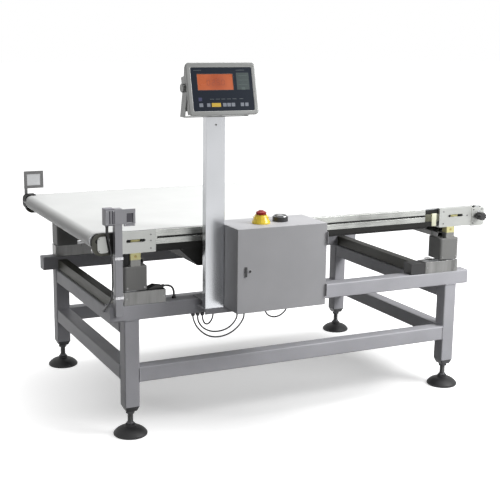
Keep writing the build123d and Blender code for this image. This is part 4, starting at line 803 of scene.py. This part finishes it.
class BELTSCALE_OT_cabinet_finish(bpy.types.Operator):
    """Finish the cabinet, its door, lock, inside parts and the two buttons."""

    bl_idname = "belt_scale.cabinet_finish"
    bl_label = "Cabinet finish"

    def execute(self, context):
        colours = settings("belt_scale_finish")
        paint = finish("cabinet_paint", colours.cabinet_colour, roughness=0.5, specular=0.25, stretch=350,
                       tone=0.03, relief=0.00012, edge=0.0015, edge_light=0.12)
        dress(paint, "cabinet_shell", "cabinet_door")
        dress(finish("seal_foam", (0.02, 0.02, 0.02), roughness=0.85, stretch=700, relief=0.0004),
              "door_seal")
        black = finish("lock_black", (0.02, 0.02, 0.022), roughness=0.4, stretch=500, edge=0.0006,
                       edge_light=0.8)
        dress(black, "door_lock", "button_collar")
        dress(finish("zinc_panel", (0.42, 0.43, 0.42), roughness=0.4, metallic=0.6, stretch=90, tone=0.12),
              "mounting_plate")
        dress(finish("device_grey", (0.25, 0.25, 0.26), roughness=0.5, stretch=500, edge=0.001),
              "control_devices")
        self.stop()
        self.button()
        self.door(black)
        self.devices(black)
        return {"FINISHED"}

    def stop(self):
        """The emergency stop: a faceted yellow guard and a red head with grips round its rim."""
        yellow = finish("stop_yellow", (0.80, 0.58, 0.02), roughness=0.35, stretch=300, tone=0.1, edge=0.0015,
                        edge_light=0.15, coat=0.3)
        red = finish("stop_red", (0.26, 0.010, 0.008), stretch=500, tone=0.15, specular=0.25)
        dress(yellow, "estop_shroud")
        dress(red, "estop_head")
        x, y = -255, -115
        facets, grips = 12, 18
        guard, head = bmesh.new(), bmesh.new()
        lathe(guard, spot(x, y, 825), UP,
              ((13.5, 22.5), (35.2, 0.3), (35.2, 5.5), (23.4, 29.8), (23.4, 33.0), (19.6, 33.0),
               (19.6, 29.0), (13.5, 28.0), (13.5, 22.5)), steps=facets)
        for rib in range(facets):
            turn = 2 * pi * rib / facets
            lean = Euler((0, radians(26), turn)).to_matrix().to_4x4()
            block(guard, spot(x + cos(turn) * 27.6, y + sin(turn) * 27.6, 844), (1.6, 2.4, 18.0), 0.5, lean)
        place_piece("stop_guard", guard, yellow)
        lathe(head, spot(x, y, 873.3), UP, ((0, 0), (9.0, -0.6), (9.0, 0.5), (8.2, 1.0), (0, 1.6)))
        for grip in range(grips):
            turn = 2 * pi * grip / grips
            rod(head, spot(x + cos(turn) * 18.6, y + sin(turn) * 18.6, 860.2), UP, 1.1, 6.6, segments=8)
        place_piece("stop_head_grips", head, red, body="estop")

    def button(self):
        """The push button: a dished grey cap with a pale centre inside a bright ring."""
        dress(finish("button_grey", (0.035, 0.036, 0.038), roughness=0.28, stretch=500, coat=0.4, tone=0.1),
              "button_cap")
        ring = bmesh.new()
        lathe(ring, spot(-165, -100, 845), UP,
              ((24.4, -0.2), (28.0, -0.2), (27.4, 0.9), (24.8, 0.9), (24.4, -0.2)), steps=40)
        chrome = finish("button_ring_chrome", (0.55, 0.56, 0.57), roughness=0.15, metallic=1.0, stretch=200,
                        tone=0.04)
        place_piece("button_ring", ring, chrome)
        disc = bmesh.new()
        lathe(disc, spot(-165, -100, 845.3), UP,
              ((0, 0), (11.5, 0.6), (12.5, 1.5), (11.0, 1.9), (0, 1.2)), steps=40)
        pale = finish("button_mark_pale", (0.42, 0.43, 0.44), roughness=0.35, stretch=300, tone=0.05)
        place_piece("button_mark", disc, pale, body="button")

    def door(self, black):
        """The lock's keyhole boss and its rim, the hinge leaves' screws and the bolts behind the cabinet."""
        lock = spot(-342, -205, 663)
        boss, rim, bolts = bmesh.new(), bmesh.new(), bmesh.new()
        lathe(boss, lock, TO_FRONT,
              ((0, 0), (5.0, 0), (5.0, 1.6), (4.2, 2.4), (1.6, 2.4), (1.6, 1.2), (0, 1.2)), steps=24)
        place_piece("lock_plate", boss, black, body="door")
        lathe(rim, lock, TO_FRONT, ((5.2, 0), (8.4, 0), (8.0, 0.5), (5.2, 0.8), (5.2, 0)))
        grey = finish("lock_rim_grey", (0.40, 0.40, 0.41), roughness=0.45, stretch=300, tone=0.05)
        place_piece("lock_rim", rim, grey, body="door")
        for leaf in (537, 741):
            for z in (leaf + 8, leaf + 25, leaf + 42):
                cap_screw(bolts, spot(-14.5, -178, z), (1, 0, 0), 2.4, 1.4)
        for x in (-372, -38):
            for z in (523, 805):
                hex_bolt(bolts, spot(x, -5, z), TO_REAR, 8.0, 2.2)
        place_piece("cabinet_screws", bolts, screw_metal("hinge_screw_zinc", (0.30, 0.30, 0.31)))

    def devices(self, black):
        """Levers on the breakers, screws on the terminals and the inverter's front."""
        shape, screws = bmesh.new(), bmesh.new()
        top, back = 785.0, -21.0
        for x, wide in ((-216.5, 34.0), (-185.0, 8.0), (-167.0, 8.0), (-149.0, 8.0), (-131.0, 8.0)):
            block(shape, spot(x, back - 71.5, top - 52.0), (wide, 5.0, 12.0), 0.8)
            for z in (top - 18.0, top - 84.0):
                cap_screw(screws, spot(x, back - 70.0, z), TO_FRONT, 2.6, 1.0)
        for terminal in range(8):
            for z in (top - 165.0, top - 218.0):
                cap_screw(screws, spot(-235.3 + terminal * 8.0, back - 52.0, z), TO_FRONT, 2.2, 1.0)
        block(shape, spot(-309.0, back - 95.5, top - 60.0), (58.0, 1.6, 40.0), 0.6)
        for x in (-327.0, -309.0, -291.0):
            block(shape, spot(x, back - 96.0, top - 98.0), (11.0, 2.0, 8.0), 0.6)
        place_piece("device_levers", shape, black)
        place_piece("device_screws", screws, screw_metal("terminal_screw_zinc", (0.34, 0.34, 0.33)))


INDICATOR_X = -431.5
FACE = spot(INDICATOR_X, -145, 1335)
FACE_TILT = 14  # degrees that the face leans back
FACE_TURN = Matrix.Rotation(radians(90 - FACE_TILT), 4, "X")


def on_face(across, up, out=0.0):
    """A place on the indicator's face, in millimetres from its centre."""
    return FACE + FACE_TURN.to_3x3() @ Vector((across / 1000, up / 1000, out / 1000))


class BELTSCALE_OT_indicator_finish(bpy.types.Operator):
    """Finish the indicator and add its keys, marks, figures, display frame and side knobs."""

    bl_idname = "belt_scale.indicator_finish"
    bl_label = "Indicator finish"

    SEGMENTS = {"0": "abcdef", "1": "bc", "2": "abged", "5": "afgcd"}
    STROKES = {"a": (0, 9, 1), "g": (0, 0, 1), "d": (0, -9, 1), "f": (-5.4, 4.6, 0), "b": (5.4, 4.6, 0),
               "e": (-5.4, -4.6, 0), "c": (5.4, -4.6, 0)}

    def execute(self, context):
        steel = finish("indicator_steel", (0.25, 0.255, 0.25), roughness=0.32, metallic=0.35,
                       stretch=(4, 60, 60), tone=0.05, relief=0.00001, edge=0.004, edge_light=0.6,
                       blotch=0.04)
        dress(steel, "indicator_housing", "indicator_bracket")
        dress(finish("panel_film", (0.007, 0.012, 0.022), roughness=0.4, stretch=900, relief=0.00002,
                     specular=0.15), "indicator_panel")
        dress(self.display(), "indicator_lcd")
        self.keys()
        self.digits()
        self.hardware(steel)
        return {"FINISHED"}

    def display(self):
        """A lit orange display, redder and darker round its middle."""
        material = finish("display_orange", (0.80, 0.22, 0.045), roughness=0.3, stretch=12, tone=0.1,
                          blotch=0.02)
        tree = material.node_tree
        away = node(tree, "VectorMath", place_in(tree), on_face(-20, 24), operation="DISTANCE")
        shade = node(tree, "ValToRGB", ramp(tree, away.outputs["Value"], 0.008, 0.045))
        shade.color_ramp.elements[0].color = (0.33, 0.05, 0.005, 1.0)
        shade.color_ramp.elements[1].color = (0.46, 0.09, 0.016, 1.0)
        inputs = tree.nodes["Principled BSDF"].inputs
        for name in ("Base Color", "Emission Color"):
            feed(tree, inputs[name], shade.outputs["Color"])
        inputs["Emission Strength"].default_value = 0.12
        return material

    def keys(self):
        """Membrane keys, the field beside the display and the plain marks printed on the panel."""
        rows = {
            "key_grey": ((0.20, 0.22, 0.26), [(-90, -59, 15, 13), (-61, -59, 13, 13), (2, -59, 14, 13),
                                              (19, -59, 14, 13), (36, -59, 14, 13), (72, -59, 13, 13),
                                              (90, -59, 13, 13)]),
            "key_yellow": ((0.62, 0.40, 0.03), [(-31, -59, 36, 14)]),
            "key_marks": ((0.06, 0.075, 0.085), [(x, -38, 16, 2.2) for x in (-46, -24, -2, 20, 42, 70)]
                          + [(-94, 66, 30, 2.0), (74, 66, 34, 2.0)]),
            "key_blue": ((0.02, 0.025, 0.09), [(-92, -38, 13, 13)]),
            "side_field": ((0.022, 0.040, 0.040), [(82, 26, 50, 62)]),
            "side_marks": ((0.05, 0.075, 0.07),
                           [(82, up, 36, 2.0) for up in (46, 30, 14)] + [(82, -1, 14, 9)]),
        }
        for name, (colour, pads) in rows.items():
            shape = bmesh.new()
            raised = 0.25 if name == "side_marks" else 0.1
            for across, up, wide, high in pads:
                block(shape, on_face(across, up, -0.5 + raised), (wide, high, 0.3), 0.1, FACE_TURN)
            film = finish(name, colour, roughness=0.35, stretch=300, tone=0.1)
            place_piece(name, shape, film, body="indicator", smooth=False)

    def digits(self):
        """Plain dark figures on the display and the frame round its window."""
        shape = bmesh.new()
        first, pitch = -54, 19
        for index, figure in enumerate("0250"):
            for stroke in self.SEGMENTS[figure]:
                across, up, level = self.STROKES[stroke]
                size = (8.6, 1.9, 0.2) if level else (1.9, 7.0, 0.2)
                middle = on_face(first + index * pitch + across, 22 + up, -1.12)
                block(shape, middle, size, 0.05, FACE_TURN)
        block(shape, on_face(-6.5, 12.6, -1.12), (2.2, 2.2, 0.2), 0.05, FACE_TURN)
        ink = finish("display_figures", (0.30, 0.045, 0.01), roughness=0.4, stretch=300, tone=0.1)
        place_piece("display_figures", shape, ink, body="indicator", smooth=False)
        rim = bmesh.new()
        for across, up, wide, high in ((-27, 53.6, 143, 1.4), (-27, -5.6, 143, 1.4), (-97.8, 24, 1.4, 60.4),
                                       (43.8, 24, 1.4, 60.4)):
            block(rim, on_face(across, up, -0.35), (wide, high, 0.5), 0.1, FACE_TURN)
        edge = finish("display_rim", (0.03, 0.034, 0.04), roughness=0.3, stretch=300, tone=0.1)
        place_piece("display_rim", rim, edge, body="indicator", smooth=False)

    def hardware(self, steel):
        """Lobed grips round the side knobs, the housing's cheeks and screws at the bracket's foot."""
        grip = finish("side_knob_steel", (0.30, 0.30, 0.30), roughness=0.4, metallic=0.3, stretch=500,
                      edge=0.001)
        knobs, screws, cheeks = bmesh.new(), bmesh.new(), bmesh.new()
        lobes, reach = 10, 14.0
        for side in (-1, 1):
            block(cheeks, on_face(side * 123.5, -6, -46), (2.6, 128.0, 74.0), 1.2, FACE_TURN)
            for lobe in range(lobes):
                turn = 2 * pi * lobe / lobes
                place = spot(INDICATOR_X + side * 129.5, -98.43 + cos(turn) * reach,
                             1335.76 + sin(turn) * reach)
                rod(knobs, place, (side, 0, 0), 2.6, 12.0, segments=12)
            for y in (-82, -64):
                hex_bolt(screws, spot(INDICATOR_X + side * 22, y, 1232), UP, 8.0, 3.0)
        for z in (1200, 1260):
            cap_screw(screws, spot(-433, -90, z), TO_FRONT, 3.4, 1.8)
        place_piece("housing_cheeks", cheeks, steel, body="indicator")
        place_piece("side_knob_lobes", knobs, grip)
        place_piece("bracket_screws", screws, steel)


class BELTSCALE_OT_sensor_finish(bpy.types.Operator):
    """Finish the photo-eye, its stand and the reflectors, with their clamps and screws."""

    bl_idname = "belt_scale.sensor_finish"
    bl_label = "Photo-eye finish"

    def execute(self, context):
        stand = finish("stand_steel", (0.30, 0.30, 0.32), roughness=0.42, metallic=0.15,
                       stretch=(300, 300, 20), tone=0.08, edge=0.001, edge_light=0.4)
        dress(stand, "sensor_stand")
        dress(finish("reflector_frame_dark", (0.16, 0.16, 0.16), roughness=0.4, metallic=0.3, stretch=200,
                     edge=0.001, edge_light=0.6), "reflector_stand")
        dress(finish("eye_housing", (0.17, 0.165, 0.19), roughness=0.42, stretch=500, edge=0.001,
                     edge_light=0.3), "sensor_head")
        dress(self.prisms(), "reflector_panels")
        self.eye_details()
        self.clamps()
        return {"FINISHED"}

    def prisms(self):
        """Reflector plastic with a honeycomb of small prisms."""
        material = finish("reflector_face", (0.62, 0.63, 0.64), roughness=0.22, stretch=400, tone=0.06,
                          coat=0.5)
        tree = material.node_tree
        cells = node(tree, "TexVoronoi", Vector=place_in(tree), Scale=260.0, Randomness=0.0)
        emboss(material, cells.outputs["Distance"], 0.6, 0.001)
        return material

    def eye_details(self):
        """Dark ribs on the photo-eye's side, its lens, the dark window of the wing and the screws."""
        dark = finish("eye_dark", (0.05, 0.048, 0.06), roughness=0.35, stretch=500, tone=0.15, edge=0.0004)
        shape = bmesh.new()
        for x, wide in ((-826.0, 5.0), (-815.0, 7.0), (-807.8, 3.0)):
            block(shape, spot(x, -31.2, 869), (wide, 1.0, 48.0), 0.3)
        block(shape, spot(-749, -28.4, 864), (33.0, 1.0, 34.0), 0.4)
        lathe(shape, spot(-824, 11.0, 876.4), TO_REAR,
              ((0, 0), (8.8, 0), (8.8, 0.9), (6.5, 0.9), (6.5, 0.4), (0, 0.7)), steps=28)
        place_piece("eye_dark_parts", shape, dark)
        screws = bmesh.new()
        for x, y, z in ((-837, -31, 892), (-811, -31, 892), (-837, -31, 847),
                        (-766, -28, 889), (-732, -28, 889), (-766, -28, 839), (-732, -28, 839)):
            cap_screw(screws, spot(x, y, z), TO_FRONT, 2.2, 1.0)
        bright = screw_metal("eye_screw_steel", (0.45, 0.45, 0.47))
        place_piece("eye_screws", screws, bright)

    def clamps(self):
        """Bright bands with their screws where the post is clamped."""
        shape = bmesh.new()
        for z in (564, 714):
            for x in (-798, -786):
                hex_bolt(shape, spot(x, -30, z), TO_FRONT, 5.5, 1.6)
            block(shape, spot(-792, -30.2, z), (32.0, 0.6, 10.4), 0.2)
        pale = finish("clamp_bright", (0.70, 0.70, 0.72), roughness=0.25, metallic=0.5, stretch=300,
                      tone=0.06, edge=0.0004)
        place_piece("post_clamps", shape, pale)


OPERATORS = (
    BELTSCALE_OT_stage,
    BELTSCALE_OT_cables,
    BELTSCALE_OT_frame_finish,
    BELTSCALE_OT_module_finish,
    BELTSCALE_OT_conveyor_finish,
    BELTSCALE_OT_cabinet_finish,
    BELTSCALE_OT_indicator_finish,
    BELTSCALE_OT_sensor_finish,
)


class BELTSCALE_PT_sidebar(bpy.types.Panel):
    """Buttons for each group of pieces of the belt scale."""

    bl_idname = "BELTSCALE_PT_sidebar"
    bl_label = "Belt Scale"
    bl_space_type = "VIEW_3D"
    bl_region_type = "UI"
    bl_category = "Belt Scale"

    def draw(self, context):
        for operator in OPERATORS:
            self.layout.operator(operator.bl_idname)


def register():
    """Register the settings, operators and panel."""
    for name, group in SETTINGS:
        bpy.utils.register_class(group)
        setattr(bpy.types.Scene, name, bpy.props.PointerProperty(type=group))
    for operator in OPERATORS:
        bpy.utils.register_class(operator)
    bpy.utils.register_class(BELTSCALE_PT_sidebar)


def unregister():
    """Take the settings, operators and panel away again."""
    bpy.utils.unregister_class(BELTSCALE_PT_sidebar)
    for operator in reversed(OPERATORS):
        bpy.utils.unregister_class(operator)
    for name, group in reversed(SETTINGS):
        delattr(bpy.types.Scene, name)
        bpy.utils.unregister_class(group)


def main():
    """Build the whole scene."""
    register()
    bpy.ops.belt_scale.stage()
    bpy.ops.belt_scale.cables()
    bpy.ops.belt_scale.frame_finish()
    bpy.ops.belt_scale.module_finish()
    bpy.ops.belt_scale.conveyor_finish()
    bpy.ops.belt_scale.cabinet_finish()
    bpy.ops.belt_scale.indicator_finish()
    bpy.ops.belt_scale.sensor_finish()


if __name__ == "__main__":
    main()
